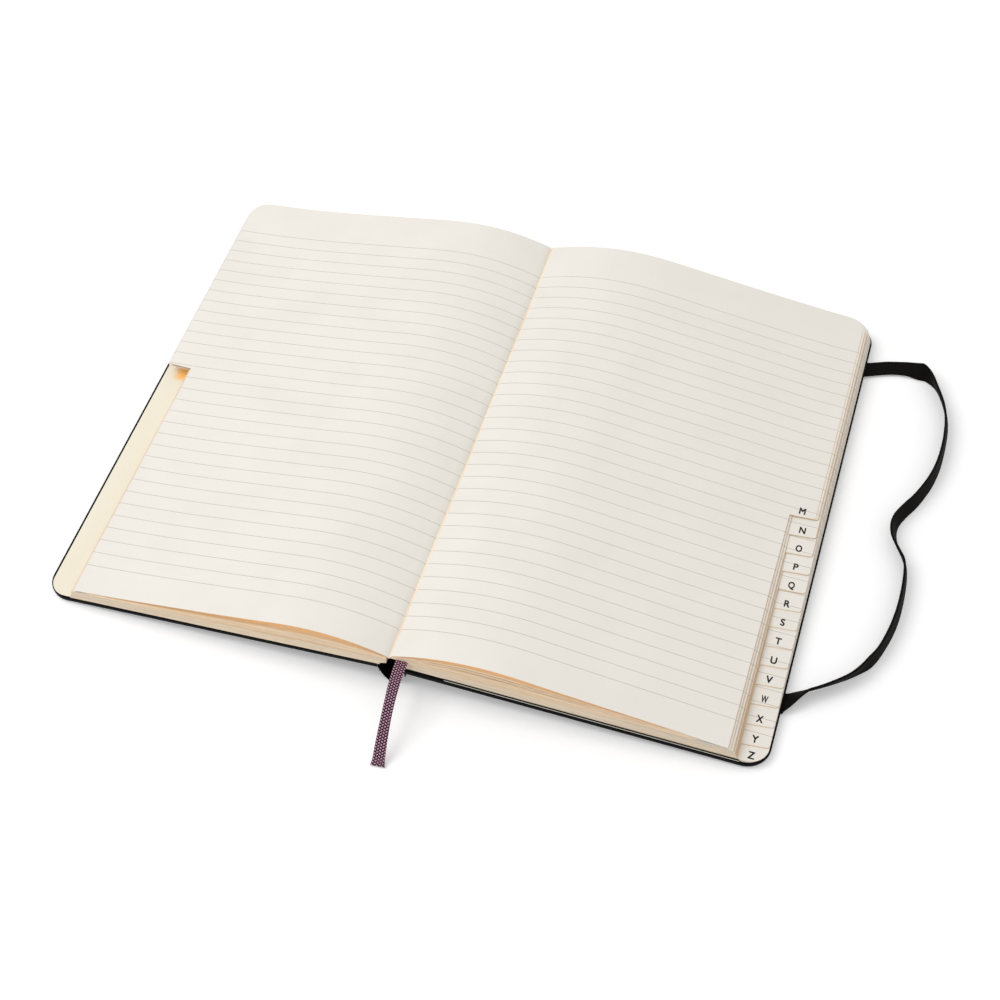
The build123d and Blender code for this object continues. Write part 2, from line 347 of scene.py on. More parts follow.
def cloth_finish(name, colour, threads_per_metre):
    """Plain-woven book cloth."""
    material, graph, shader = new_finish(name, colour, 0.85)
    place = graph.add("ShaderNodeTexCoord").outputs["Object"]
    warp = graph.add("ShaderNodeTexWave", {"Vector": place, "Scale": threads_per_metre}, bands_direction="X")
    weft = graph.add("ShaderNodeTexWave", {"Vector": place, "Scale": threads_per_metre}, bands_direction="Y")
    weave = graph.math("MAXIMUM", warp.outputs["Fac"], weft.outputs["Fac"])
    dark = tuple(channel * 0.5 for channel in colour)
    tone = graph.mix(weave, (*dark, 1), (*colour, 1))
    graph.tree.links.new(tone, shader.inputs["Base Color"])
    shader.inputs["Specular IOR Level"].default_value = black_specular
    add_relief(graph, shader, weave, 0.4, 0.05 * MM)
    return material


gusset_cloth = cloth_finish("black_book_cloth", (0.006, 0.006, 0.0065), 420.0)
lining_cloth = cloth_finish("black_spine_lining", (0.008, 0.008, 0.0085), 250.0)
ink_finish, ink_graph, ink_shader = new_finish("index_ink", (0.01, 0.009, 0.009), 0.6)
ink_place = ink_graph.add("ShaderNodeTexCoord").outputs["Object"]
ink_grain = ink_graph.noise(ink_place, ink_grain_per_metre)
ink_tone = ink_graph.mix(ink_grain, (0.006, 0.005, 0.005, 1), (0.02, 0.018, 0.018, 1))
ink_graph.tree.links.new(ink_tone, ink_shader.inputs["Base Color"])
print("cloth and ink made")

# %% [markdown]
# ## Helpers to turn points into a piece
#
# A mesh that is drawn in a cover's flat frame is leaned into place in its own points, so the object stays
# at the origin and every pattern that reads Object coordinates stays put. The left cover's frame is a
# mirror image, which turns faces inside out, so its meshes are flipped. Most pieces here are loops of
# points in a row, so one helper draws the faces between them.

# %% Piece helpers
smooth_angle = radians(35)


def as_piece(name, mesh, side=None):
    """An object for a finished mesh, leaned into its cover if a side is given."""
    mesh.name = name
    if side is not None:
        mesh.transform(COVER[side])
        if side == LEFT:
            mesh.flip_normals()
    mesh.shade_smooth()
    mesh.set_sharp_from_angle(angle=smooth_angle)
    piece = bpy.data.objects.new(name, mesh)
    bpy.context.scene.collection.objects.link(piece)
    return piece


def loop_faces(loops, count, closed=True):
    """The four-sided faces between loops of points in a row, each of count points."""
    faces = []
    for loop in range(loops - 1):
        for step in range(count if closed else count - 1):
            here = loop * count + step
            there = loop * count + (step + 1) % count
            faces.append([here, there, there + count, here + count])
    return faces


def settle(piece, body, slot, *nodes):
    """Let a piece ride on its body and let it stand for its nodes. slot is not used."""
    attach(piece, body)
    if nodes:
        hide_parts(*nodes)
    return piece


def flatten_shut(piece, level):
    """Give a piece a mesh of its own. level is not used."""
    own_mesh(piece)


def paint(node, finish):
    """Give a carried-over node its finish."""
    data = frame["nodes"][node].data
    data.materials.clear()
    data.materials.append(finish)


print("edges sharper than", round(smooth_angle / radians(1)), "degrees stay sharp")

# %% [markdown]
# ## The thumb index
#
# The index is cut in steps down the fore-edge, one for each letter, so that every letter shows beside the
# open page. A letter's step follows from its place in the alphabet. Two small helpers round the corners
# and choose where a sheet gets its columns and rows.

# %% Index steps
tab_pitch = 8.08 * MM
first_tab_height = 6.9 * MM
least_gap = 0.05 * MM
letters = "abcdefghijklmnopqrstuvwxyz"
left_letters = letters[: letters.index("m")]
leaf_low, leaf_high = flat_box("section_a", LEFT)
leaf_tail, leaf_head = leaf_low.y, leaf_high.y


def tab_end(letter):
    """Height of the lower end of a letter's tab, or None for the last letter, whose leaf isn't cut."""
    end = leaf_head - first_tab_height - letters.index(letter) * tab_pitch
    return end if end > leaf_tail else None


def corner_drop(distance, radius):
    """How far a rounded corner falls back at a distance past the start of its arc."""
    past = min(max(distance, 0.0), radius)
    return radius - sqrt(radius * radius - past * past)


def spread(low, high, count, *extra):
    """Evenly spaced values with some chosen ones among them, in order and without near doubles."""
    values = sorted(set(np.linspace(low, high, count)) | {value for value in extra if low < value < high})
    kept = [values[0]]
    for value in values[1:]:
        if value - kept[-1] > least_gap:
            kept.append(value)
    kept[-1] = high
    return kept


print("leaf", round((leaf_head - leaf_tail) / MM, 1), "mm high, tabs every", round(tab_pitch / MM, 2), "mm")

# %% [markdown]
# ## The shape of one leaf
#
# A leaf is a rectangle with rounded fore-edge corners. Below its letter's tab the fore-edge is cut back,
# so that the later letters show. It is drawn as a flat one-sided sheet of columns and rows. Two things
# ride on the sheet for the node tree that comes next: how far each point rises off the stack, and which
# narrow strips lie along a die cut or the fore-edge. These get a darker tan rim, which stands partly for
# the thin cut edge and partly for painted shade at the step.

# %% Leaf sheets
leaf_corner = 7.0 * MM
tab_corner = 1.0 * MM
tab_width = 9.6 * MM
tab_slant = 0.9 * MM
rim_width = 0.18 * MM
fore_edge_rim = 0.2 * MM
tiny = 1e-9


def leaf_sheet(name, inner, outer, tail, end, columns, rows, swell, rise=None, rimmed=False):
    """A leaf from its bound edge to its fore-edge, cut back below end, with rise(u, y) kept on its points."""
    cut = outer - tab_width if end is not None else outer
    arc = [outer - leaf_corner + leaf_corner * sin(step * pi / 16) for step in range(9)]
    tab_arc = [outer - tab_corner + tab_corner * sin(step * pi / 8) for step in range(5)]
    rim_start = outer - fore_edge_rim
    across = spread(inner, outer, columns, cut - rim_width, cut, rim_start, *arc, *tab_arc)
    low_end = tail if end is None else end
    up = spread(tail, leaf_head, rows, low_end, low_end + rim_width)
    first_row = min(range(len(up)), key=lambda row: abs(up[row] - low_end))
    index, points, lifts = {}, [], []
    for column, u in enumerate(across):
        past_cut = u > cut + tiny or end is None
        head = leaf_head - corner_drop(u - outer + leaf_corner, leaf_corner)
        foot_radius = leaf_corner if end is None else tab_corner
        foot = low_end + corner_drop(u - outer + foot_radius, foot_radius)
        if end is not None and u > cut - tiny:
            foot += tab_slant * ((u - cut) / tab_width - 0.5)
        for row, y in enumerate(up):
            if past_cut and row < first_row:
                continue
            if row < first_row:
                y = tail + (y - tail) / (low_end - tail) * (foot - tail)
            else:
                y = foot + (y - low_end) / (leaf_head - low_end) * (head - foot)
            index[column, row] = len(points)
            points.append((u, y, swell(u)))
            lifts.append(rise(u, y) if rise else 0.0)
    faces, rims = [], []
    for column in range(len(across) - 1):
        for row in range(len(up) - 1):
            corners = [(column, row), (column + 1, row), (column + 1, row + 1), (column, row + 1)]
            if all(corner in index for corner in corners):
                faces.append([index[corner] for corner in corners])
                beside_cut = end is not None and row < first_row and across[column + 1] > cut - tiny
                above_cut = end is not None and row == first_row and across[column] > cut - tiny
                beside_fore_edge = rimmed and across[column] > rim_start - tiny
                rims.append(beside_cut or above_cut or beside_fore_edge)
    mesh = bpy.data.meshes.new(name)
    mesh.from_pydata(points, [], faces)
    mesh.attributes.new("rise", "FLOAT", "POINT").data.foreach_set("value", lifts)
    mesh.attributes.new("rim", "FLOAT", "FACE").data.foreach_set("value", [float(rim) for rim in rims])
    return mesh


print("tabs", round(tab_width / MM, 1), "mm wide")

# %% [markdown]
# ## A stack of leaves as a node tree
#
# A section is the same sheet again and again, each copy a little higher, a little further out and trimmed
# a hair differently. That is a rule, so Geometry Nodes make it: points on a line, a sheet on each, then
# every sheet moved by its own number in the stack, thickened, and painted with paper on its faces and tan
# on its cut edges.

# %% Leaf stack tree
STACK_INPUTS = [
    ("Leaves", "NodeSocketInt"),
    ("Leaf Pitch", "NodeSocketFloat"),
    ("Leaf Thickness", "NodeSocketFloat"),
    ("Fore-edge Step", "NodeSocketFloat"),
    ("Trim Jitter", "NodeSocketFloat"),
    ("Rise", "NodeSocketFloat"),
    ("Rise Step", "NodeSocketFloat"),
    ("Rise Jitter", "NodeSocketFloat"),
    ("Seed", "NodeSocketInt"),
    ("Page", "NodeSocketMaterial"),
    ("Cut Edge", "NodeSocketMaterial"),
    ("Rim And Painted Shade", "NodeSocketMaterial"),
]
merge_distance = 0.0005 * MM


def leaf_stack_tree():
    """Copies of one sheet, stacked, lifted by their rise, thickened and painted."""
    tree = bpy.data.node_groups.new("leaf_stack", "GeometryNodeTree")
    tree.interface.new_socket(name="Geometry", in_out="INPUT", socket_type="NodeSocketGeometry")
    for name, kind in STACK_INPUTS:
        tree.interface.new_socket(name=name, in_out="INPUT", socket_type=kind)
    tree.interface.new_socket(name="Geometry", in_out="OUTPUT", socket_type="NodeSocketGeometry")
    graph = Graph(tree)
    given = graph.add("NodeGroupInput").outputs
    line = graph.add("GeometryNodeMeshLine", {"Count": given["Leaves"], "Offset": (0, 0, 0)})
    on_points = {"Points": line.outputs["Mesh"], "Instance": given["Geometry"]}
    copies = graph.add("GeometryNodeInstanceOnPoints", on_points)
    number = graph.add("GeometryNodeInputIndex").outputs["Index"]
    numbered = graph.add(
        "GeometryNodeStoreNamedAttribute",
        {"Geometry": copies.outputs["Instances"], "Name": "leaf", "Value": number},
        data_type="FLOAT",
        domain="INSTANCE",
    )
    loose = graph.add("GeometryNodeRealizeInstances", {"Geometry": numbered.outputs["Geometry"]})

    def named(name):
        node = graph.add("GeometryNodeInputNamedAttribute", {"Name": name}, data_type="FLOAT")
        return node.outputs["Attribute"]

    def chance(offset):
        seed = graph.math("ADD", given["Seed"], offset)
        inputs = {"Min": -1.0, "Max": 1.0, "ID": leaf, "Seed": seed}
        node = graph.add("FunctionNodeRandomValue", data_type="FLOAT")
        float_sockets = [socket for socket in node.inputs if socket.enabled]
        for socket in float_sockets:
            value = inputs[socket.name]
            if isinstance(value, float):
                socket.default_value = value
            else:
                tree.links.new(value, socket)
        return next(socket for socket in node.outputs if socket.enabled)

    leaf = named("leaf")
    share = graph.math("ADD", given["Rise"], graph.math("MULTIPLY", leaf, given["Rise Step"]))
    share = graph.math("ADD", share, graph.math("MULTIPLY", chance(3), given["Rise Jitter"]))
    lift = graph.math("MULTIPLY", named("rise"), share)
    out = graph.math("MULTIPLY", leaf, given["Fore-edge Step"])
    out = graph.math("ADD", out, graph.math("MULTIPLY", chance(1), given["Trim Jitter"]))
    along = graph.math("MULTIPLY", chance(2), given["Trim Jitter"])
    off = graph.math("ADD", graph.math("MULTIPLY", leaf, given["Leaf Pitch"]), lift)
    offset = graph.add("ShaderNodeCombineXYZ", {"X": out, "Y": along, "Z": off}).outputs["Vector"]
    placed = graph.add("GeometryNodeSetPosition", {"Geometry": loose.outputs["Geometry"], "Offset": offset})
    under = graph.add("GeometryNodeFlipFaces", {"Mesh": placed.outputs["Geometry"]})
    thick = graph.add(
        "GeometryNodeExtrudeMesh",
        {"Mesh": placed.outputs["Geometry"], "Offset Scale": given["Leaf Thickness"], "Individual": False},
        mode="FACES",
    )
    both = graph.add("GeometryNodeJoinGeometry")
    tree.links.new(under.outputs["Mesh"], both.inputs["Geometry"])
    tree.links.new(thick.outputs["Mesh"], both.inputs["Geometry"])
    joined = {"Geometry": both.outputs["Geometry"], "Distance": merge_distance}
    closed = graph.add("GeometryNodeMergeByDistance", joined)
    real = graph.add("GeometryNodeRealizeInstances", {"Geometry": closed.outputs["Geometry"]})
    paged = graph.add("GeometryNodeSetMaterial", {"Geometry": real.outputs[0], "Material": given["Page"]})
    # The strips along cuts and the fore-edge get the darker rim: partly the cut edge, partly painted shade
    rimmed = graph.add(
        "GeometryNodeSetMaterial",
        {"Geometry": paged.outputs[0], "Material": given["Rim And Painted Shade"], "Selection": named("rim")},
    )
    edged = graph.add(
        "GeometryNodeSetMaterial",
        {"Geometry": rimmed.outputs[0], "Material": given["Cut Edge"], "Selection": thick.outputs["Side"]},
    )
    graph.add("NodeGroupOutput", {"Geometry": edged.outputs[0]})
    return tree


stack_tree = leaf_stack_tree()
print("leaf stack tree", len(stack_tree.nodes), "nodes")

# %% [markdown]
# ## Running the tree
#
# A maker object carries the sheet and the tree as a modifier. Its inputs are set by their sockets'
# identifiers before it is first evaluated. The result becomes a plain mesh, because the export drops
# instances, and the maker goes, with its modifier.

# %% Leaf stacks
stack_inputs = [item for item in stack_tree.interface.items_tree if item.in_out == "INPUT"]
stack_sockets = {item.name: item.identifier for item in stack_inputs}


def leaf_stack(name, sheet, side, level, **values):
    """A piece made by the tree from one sheet, lying at a height above the board."""
    maker = bpy.data.objects.new(name + "_maker", sheet)
    bpy.context.scene.collection.objects.link(maker)
    modifier = maker.modifiers.new("leaf_stack", "NODES")
    modifier.node_group = stack_tree
    finishes = {"Page": page_finish, "Cut Edge": edge_finish, "Rim And Painted Shade": rim_and_shade_finish}
    for key, value in {**finishes, **values}.items():
        modifier[stack_sockets[key]] = value
    graph = bpy.context.evaluated_depsgraph_get()
    mesh = bpy.data.meshes.new_from_object(maker.evaluated_get(graph), depsgraph=graph)
    bpy.data.objects.remove(maker)
    for spare in ("rise", "rim", "leaf"):
        if spare in mesh.attributes:
            mesh.attributes.remove(mesh.attributes[spare])
    mesh.transform(Matrix.Translation((0, 0, level)))
    return as_piece(name, mesh, side)


print("leaf stack inputs", len(stack_sockets))

# %% [markdown]
# ## How an opened block shifts
#
# At the fore-edge of the right half the first few letters are drawn in, step by step, as an opened block
# slides. A read book also swells towards its fore-edge. Both are small, but they give the stepped edges
# their look, so they are worked out for each letter.

# %% Shift and swelling
# How far the fore-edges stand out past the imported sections: the first letters of the right half are drawn in
fore_edge_shift = {"m": -0.8 * MM, "n": 0.0, "o": 0.25 * MM}
later_shift = 0.7 * MM
# How far a section's leaves swell off their stack, and where on the way to the fore-edge that starts and ends
section_swell = {"m": 0.8 * MM, "n": 0.6 * MM, "o": 0.45 * MM, "p": 0.3 * MM, "q": 0.15 * MM}
left_swell = 1.0 * MM
for letter in left_letters:
    section_swell[letter] = left_swell * (letters.index(letter) + 1) / len(left_letters)
swell_start, swell_end = 45.0 * MM, 110.0 * MM


def swelling(letter):
    """The height that a letter's leaves gain at a distance from the hinge, as a function."""
    most = section_swell.get(letter, 0.0)

    def swell(u):
        share = min(max((u - swell_start) / (swell_end - swell_start), 0.0), 1.0)
        return most * share * share * (3 - 2 * share)

    return swell


def section_fore_edge(letter):
    """How far a section reaches from the hinge."""
    if letter in left_letters:
        return flat_box("section_" + letter, LEFT)[1].x
    return flat_box("section_" + letter, RIGHT)[1].x + fore_edge_shift.get(letter, later_shift)


print("swollen sections", len(section_swell))

# %% [markdown]
# ## The 26 lettered sections
#
# Each section replaces one solid slab by loose leaves in the same space. A to L lie on the front cover
# and M to Z on the back one, where each turns on a body of its own. The left half also bulges at the
# spine.

# %% Sections
leaves_per_section = 3
leaf_thickness = {LEFT: 0.12 * MM, RIGHT: 0.085 * MM}
trim_jitter = 0.05 * MM
section_slot = "leaf"
section_columns, section_rows = 18, 2
tail_overhang = {LEFT: 0.4 * MM, RIGHT: 0.0}
# The left half's bound edge bulges over the spine, less for the leaves next to the cover
least_bulge, most_bulge = -1.2 * MM, -3.9 * MM
bulge_start, bulge_end = 0.95 * MM, 1.8 * MM


def make_section(letter):
    """The leaves of one letter."""
    side = LEFT if letter in left_letters else RIGHT
    node = "section_" + letter
    low, high = flat_box(node, side)
    inner, outer = low.x, section_fore_edge(letter)
    if side == LEFT:
        inner = float(np.interp(low.z, [bulge_start, bulge_end], [least_bulge, most_bulge]))
    tail = leaf_tail - tail_overhang[side]
    rimmed = letter in fore_edge_shift
    size = (section_columns, section_rows)
    swell = swelling(letter)
    sheet = leaf_sheet(node + "_sheet", inner, outer, tail, tab_end(letter), *size, swell, rimmed=rimmed)
    piece = leaf_stack(
        "leaves_" + letter,
        sheet,
        side,
        low.z,
        **{
            "Leaves": leaves_per_section,
            "Leaf Pitch": (high.z - low.z) / leaves_per_section,
            "Leaf Thickness": leaf_thickness[side],
            "Trim Jitter": trim_jitter,
            "Seed": letters.index(letter),
        },
    )
    body = "front_cover" if side == LEFT else "leaf_" + letter
    settle(piece, body, section_slot, node)
    if letter in section_swell:
        flatten_shut(piece, low.z)
    return piece


sections = {letter: make_section(letter) for letter in letters}
print("sections", len(sections), "leaves", len(sections) * leaves_per_section)

# %% [markdown]
# ## The arch of the open leaves
#
# Where a book lies open, its leaves rise out of the gutter in an arch and come down on the stack. The
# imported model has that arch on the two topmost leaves, so it is measured there and not drawn a second
# time. A short moving average takes the facets out of it.

# %% The arch
arch_samples = 261
arch_evening = 9
open_leaves = {LEFT: "open_leaf_left", RIGHT: "open_leaf_right"}


def stack_top(letter, side):
    """Height of the top of a stack above its board."""
    return flat_box("section_" + letter, side)[1].z


def measure_arch(side, level):
    """Distance from the hinge and rise above the stack along an open leaf, evened out."""
    points = flat_points(open_leaves[side], side)
    order = np.argsort(points[:, 0])
    grid = np.linspace(points[:, 0].min(), points[:, 0].max(), arch_samples)
    rise = np.interp(grid, points[order, 0], points[order, 2]) - level
    start = 2 * rise[0] - rise[arch_evening:0:-1]
    finish = 2 * rise[-1] - rise[-2 : -arch_evening - 2 : -1]
    window = np.hanning(2 * arch_evening + 3)[1:-1]
    return grid, np.convolve(np.concatenate([start, rise, finish]), window / window.sum(), "valid")


for side, letter in ((LEFT, "l"), (RIGHT, "m")):
    crest = measure_arch(side, stack_top(letter, side))[1].max()
    print(open_leaves[side], "crest", round(crest / MM, 2), "mm over its stack")

# %% [markdown]
# ## The two open pages
#
# The page follows the arch, dips into the gutter at its root, and sways a little, as paper does.

# %% Open pages
page_thickness = 0.10 * MM
page_draw = {LEFT: 0.6 * MM, RIGHT: 0.0}
gutter_dip = [(0.50 * MM, 0.90 * MM), (0.30 * MM, 0.35 * MM)]
page_columns, page_rows = 90, 28
page_sway = 0.22 * MM
sway_along = 2 * pi / (150 * MM)
sway_across = 2 * pi / (95 * MM)
sway_phase = 0.6
loose_height = 3.0 * MM


def make_open_page(name, letter, side, body):
    """One open page. Gives its fore-edge and its rise, for what is put on it."""
    level = stack_top(letter, side)
    grid, rise = measure_arch(side, level)
    page_grid = np.concatenate([[grid[0] - inward for inward, down in gutter_dip], grid])
    page_rise = np.concatenate([[rise[0] - down for inward, down in gutter_dip], rise])

    def page_lift(u, y):
        arch = float(np.interp(u, page_grid, page_rise))
        loose = min(max(arch / loose_height, 0.0), 1.0)
        return arch + loose * page_sway * sin(sway_along * y + sway_phase) * cos(sway_across * u)

    outer = grid[-1] - page_draw[side]
    tail = leaf_tail - tail_overhang[side]
    size = (page_columns, page_rows)
    shape = (page_grid[0], outer, tail, tab_end(letter), *size, swelling(letter), page_lift, side == RIGHT)
    sheet = leaf_sheet(name + "_sheet", *shape)
    one_leaf = {"Leaves": 1, "Leaf Thickness": page_thickness, "Rise": 1.0}
    page = leaf_stack(name, sheet, side, level - page_thickness / 2, **one_leaf)
    settle(page, body, section_slot, open_leaves[side])
    flatten_shut(page, level)
    return outer, page_lift


page_l_fore_edge, page_l_lift = make_open_page("page_l", "l", LEFT, "front_cover")
page_m_fore_edge, page_m_lift = make_open_page("page_m", "m", RIGHT, "leaf_m")
print("pages reach", [round(reach / MM, 1) for reach in (page_l_fore_edge, page_m_fore_edge)], "mm")

# %% [markdown]
# ## The leaves lifted under the pages
#
# Under each page a fan of leaves takes up the lower share of the arch, which shows at head and tail. The
# leaves stand in groups that touch. In each the top leaf has a finish of its own: the glowing one for the
# last group, and for the others the darker rim tan, as painted shade in the gaps between the groups.

# %% Lifted leaves
lifted_thickness = 0.17 * MM
lifted_trim = 0.12 * MM
lifted_step = 0.019
lifted_jitter = 0.3
lifted_columns, lifted_rows = 70, 12
lifted_seed = 40
fan_start = {LEFT: -4.1 * MM, RIGHT: -5.0 * MM}
# The share of the arch that each group starts at, and its leaves
lifted_groups = {LEFT: [(0.01, 27)], RIGHT: [(0.01, 21), (0.495, 5), (0.675, 1)]}


def split_groups(side):
    """The leaves of each group and its top leaf: where they start, how many they are, and their finish."""
    parts = []
    for start, leaves in lifted_groups[side]:
        last = (start, leaves) == lifted_groups[side][-1]
        parts.append((start, leaves, edge_finish))
        # On the lower groups the top leaf takes the darker rim tan as painted shade in the gap between groups
        parts.append((start + leaves * lifted_step, 1, lifted_finish if last else rim_and_shade_finish))
    return parts


def make_fan(page_name, letter, side, body, page_outer):
    """The leaves lifted under one page."""
    level = stack_top(letter, side)
    grid, rise = measure_arch(side, level)
    last_start, last_leaves = lifted_groups[side][-1]
    room_above = rise * (1 - last_start - (last_leaves + 1) * lifted_step)
    landed = grid[np.flatnonzero(room_above > lifted_thickness + page_thickness)[-1]]
    inner = max(grid[0], fan_start[side])
    outer = min(landed, page_outer - tab_width - 2 * lifted_trim)
    tail = leaf_tail - tail_overhang[side]

    def fan_lift(u, y):
        return max(float(np.interp(u, grid, rise)), 0.0)

    for number, (start, leaves, finish) in enumerate(split_groups(side)):
        name = "lifted_" + page_name + "_" + str(number)
        shape = (inner, outer, tail, None, lifted_columns, lifted_rows, swelling(letter), fan_lift)
        values = {
            "Leaves": leaves,
            "Leaf Thickness": lifted_thickness,
            "Trim Jitter": lifted_trim,
            "Rise": start,
            "Rise Step": lifted_step,
            "Rise Jitter": lifted_step * lifted_jitter,
            "Seed": lifted_seed + 10 * number + side,
            "Page": finish,
        }
        fan = leaf_stack(name, leaf_sheet(name + "_sheet", *shape), side, level, **values)
        settle(fan, body, section_slot)
        flatten_shut(fan, level)
    print(page_name, "leaves lifted", sum(leaves for start, leaves, finish in split_groups(side)))


make_fan("page_l", "l", LEFT, "front_cover", page_l_fore_edge)
make_fan("page_m", "m", RIGHT, "leaf_m", page_m_fore_edge)

# %% [markdown]
# ## Index letters
#
# Each tab carries its own letter, set in a plain sans. A text object gives the outlines, which become a
# mesh and are laid down five times, a hair apart, to make them bold. The curve's own offset would be
# shorter, but it breaks the corners of some letters.

# %% Letter shapes
boldness = 0.026
bold_copies = [(0, 0), (1, 1), (1, -1), (-1, 1), (-1, -1)]


def letter_mesh(letter):
    """A bold capital as a flat mesh, in the font's own units."""
    curve = bpy.data.curves.new("index_" + letter, "FONT")
    curve.body = letter.upper()
    text = bpy.data.objects.new("index_" + letter + "_text", curve)
    bpy.context.scene.collection.objects.link(text)
    graph = bpy.context.evaluated_depsgraph_get()
    thin = bpy.data.meshes.new_from_object(text.evaluated_get(graph), depsgraph=graph)
    bpy.data.objects.remove(text)
    points, faces = [], []
    for across, up in bold_copies:
        faces += [[corner + len(points) for corner in face.vertices] for face in thin.polygons]
        shift = Vector((across * boldness, up * boldness, 0))
        points += [tuple(vertex.co + shift) for vertex in thin.vertices]
    mesh = bpy.data.meshes.new("index_" + letter)
    mesh.from_pydata(points, [], faces)
    return mesh


def mesh_box(mesh):
    """Lowest and highest corner of a mesh."""
    points = np.array([vertex.co for vertex in mesh.vertices])
    return points.min(0), points.max(0)


m_low, m_high = mesh_box(letter_mesh("m"))
print("capital M", round(m_high[0] - m_low[0], 2), "by", round(m_high[1] - m_low[1], 2), "font units")

# %% [markdown]
# ## Letters on their tabs
#
# A letter is scaled to the height of the printed capitals and put on its tab, just above the paper. The
# first one lies on the open page, so each of its points takes the page's own rise.

# %% Index letters
capital_height = 2.95 * MM
capital_squeeze = 0.9
widest_capital = 2.35 * MM
letter_above_end = 2.65 * MM
letter_past_cut = 4.2 * MM
ink_gap = 0.02 * MM
ink_gap_on_arch = 0.06 * MM
letter_scale = capital_height / (m_high[1] - m_low[1])


def make_letter(letter):
    """A letter on its tab."""
    mesh = letter_mesh(letter)
    low, high = mesh_box(mesh)
    outer = page_m_fore_edge if letter == "m" else section_fore_edge(letter)
    end = tab_end(letter)
    if end is None:
        end = leaf_tail
    across = outer - tab_width + letter_past_cut
    level = stack_top(letter, RIGHT) + swelling(letter)(across)
    narrow = min(letter_scale * capital_squeeze, widest_capital / (high[0] - low[0]))
    scale = Matrix.Diagonal((narrow, letter_scale, 1, 1))
    centre = Matrix.Translation((-(low[0] + high[0]) / 2, -(m_low[1] + m_high[1]) / 2, 0))
    mesh.transform(Matrix.Translation((across, end + letter_above_end, level + ink_gap)) @ scale @ centre)
    if letter == "m":
        for vertex in mesh.vertices:
            vertex.co.z += page_m_lift(vertex.co.x, vertex.co.y) + page_thickness / 2 + ink_gap_on_arch
    mesh.materials.clear()
    mesh.materials.append(ink_finish)
    piece = settle(as_piece("index_" + letter, mesh, RIGHT), "leaf_" + letter, "leaf")
    if letter == "m":
        flatten_shut(piece, stack_top("m", RIGHT))
    elif letter in section_swell:
        flatten_shut(piece, flat_box("section_" + letter, RIGHT)[0].z)
    return piece


index_letters = [make_letter(letter) for letter in letters if letter not in left_letters]
print("index letters", len(index_letters))

# %% [markdown]
# ## The covers
#
# A case binding folds its covering round the boards and a little way over their inner faces. Loops round
# the cover's outline, one for each point of the wrap's profile, give that shell: flat outside, rounded at
# the edges, and turned in to the rim of the endpaper. The board itself lies inside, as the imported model
# has it.

# %% Cover wraps
outer_round = 0.8 * MM
lip_round = 0.45 * MM
rim_rise = 0.1 * MM
turn_in = 1.15 * MM
covering_thickness = 0.3 * MM
cover_corner = 9.0 * MM
corner_steps = 12
outer_steps, lip_steps = 5, 4


def cover_outline(inset):
    """The cover's three free edges, drawn in by inset, from the tail end of the hinge to its head end."""
    radius = cover_corner - inset
    half = cover_height / 2 - inset
    centre = cover_width - cover_corner
    points = [(0.0, -half)]
    for quarter in (0, 1):
        for step in range(corner_steps + 1):
            angle = -pi / 2 + quarter * pi / 2 + step * pi / 2 / corner_steps
            middle = -cover_height / 2 + cover_corner if quarter == 0 else cover_height / 2 - cover_corner
            points.append((centre + radius * cos(angle), middle + radius * sin(angle)))
    points.append((0.0, half))
    return points


def wrap_profile():
    """Inset and height of each loop, from the flat outer face round the edge to the board's hollow."""
    profile = []
    for step in range(outer_steps + 1):
        angle = step * pi / 2 / outer_steps
        profile.append((outer_round * (1 - sin(angle)), -cover_thickness + outer_round * (1 - cos(angle))))
    for step in range(lip_steps + 1):
        angle = step * pi / 2 / lip_steps
        profile.append((lip_round * (1 - cos(angle)), rim_rise - lip_round * (1 - sin(angle))))
    profile.append((turn_in, rim_rise))
    profile.append((turn_in, 0.0))
    profile.append((covering_thickness, 0.0))
    profile.append((covering_thickness, covering_thickness - cover_thickness))
    return profile


def make_wrap(name, side, body, node):
    """The covering of one cover."""
    profile = wrap_profile()
    loops = [[(u, y, height) for u, y in cover_outline(inset)] for inset, height in profile]
    count = len(loops[0])
    points = [point for loop in loops for point in loop]
    faces = loop_faces(len(loops), count, closed=False)
    last = (len(loops) - 1) * count
    faces.append(list(range(count - 1, -1, -1)))
    faces.append(list(range(last, last + count)))
    hinge_end = [ring * count for ring in range(len(loops))]
    head_end = [ring * count + count - 1 for ring in reversed(range(len(loops)))]
    faces.append(hinge_end + head_end)
    mesh = bpy.data.meshes.new(name)
    mesh.from_pydata(points, [], faces)
    mesh.materials.append(covering)
    return settle(as_piece(name, mesh, side), body, "cover", node)


make_wrap("front_wrap", LEFT, "front_cover", "front_skin")
make_wrap("back_wrap", RIGHT, "back_cover", "back_skin")
print("covers wrapped, profile of", len(wrap_profile()), "points")

# %% [markdown]
# ## Endpapers, cards and lining
#
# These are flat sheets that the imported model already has, so they only get their finishes. Below the left
# page's tab some light falls through onto the endpaper, which is painted there as a small warm patch.

# %% Flat sheets
warm_patch_width = 8.8 * MM
warm_patch_height = 3.8 * MM
warm_patch_tone = (0.86, 0.50, 0.16, 1)
warm_patch_glow = 0.15


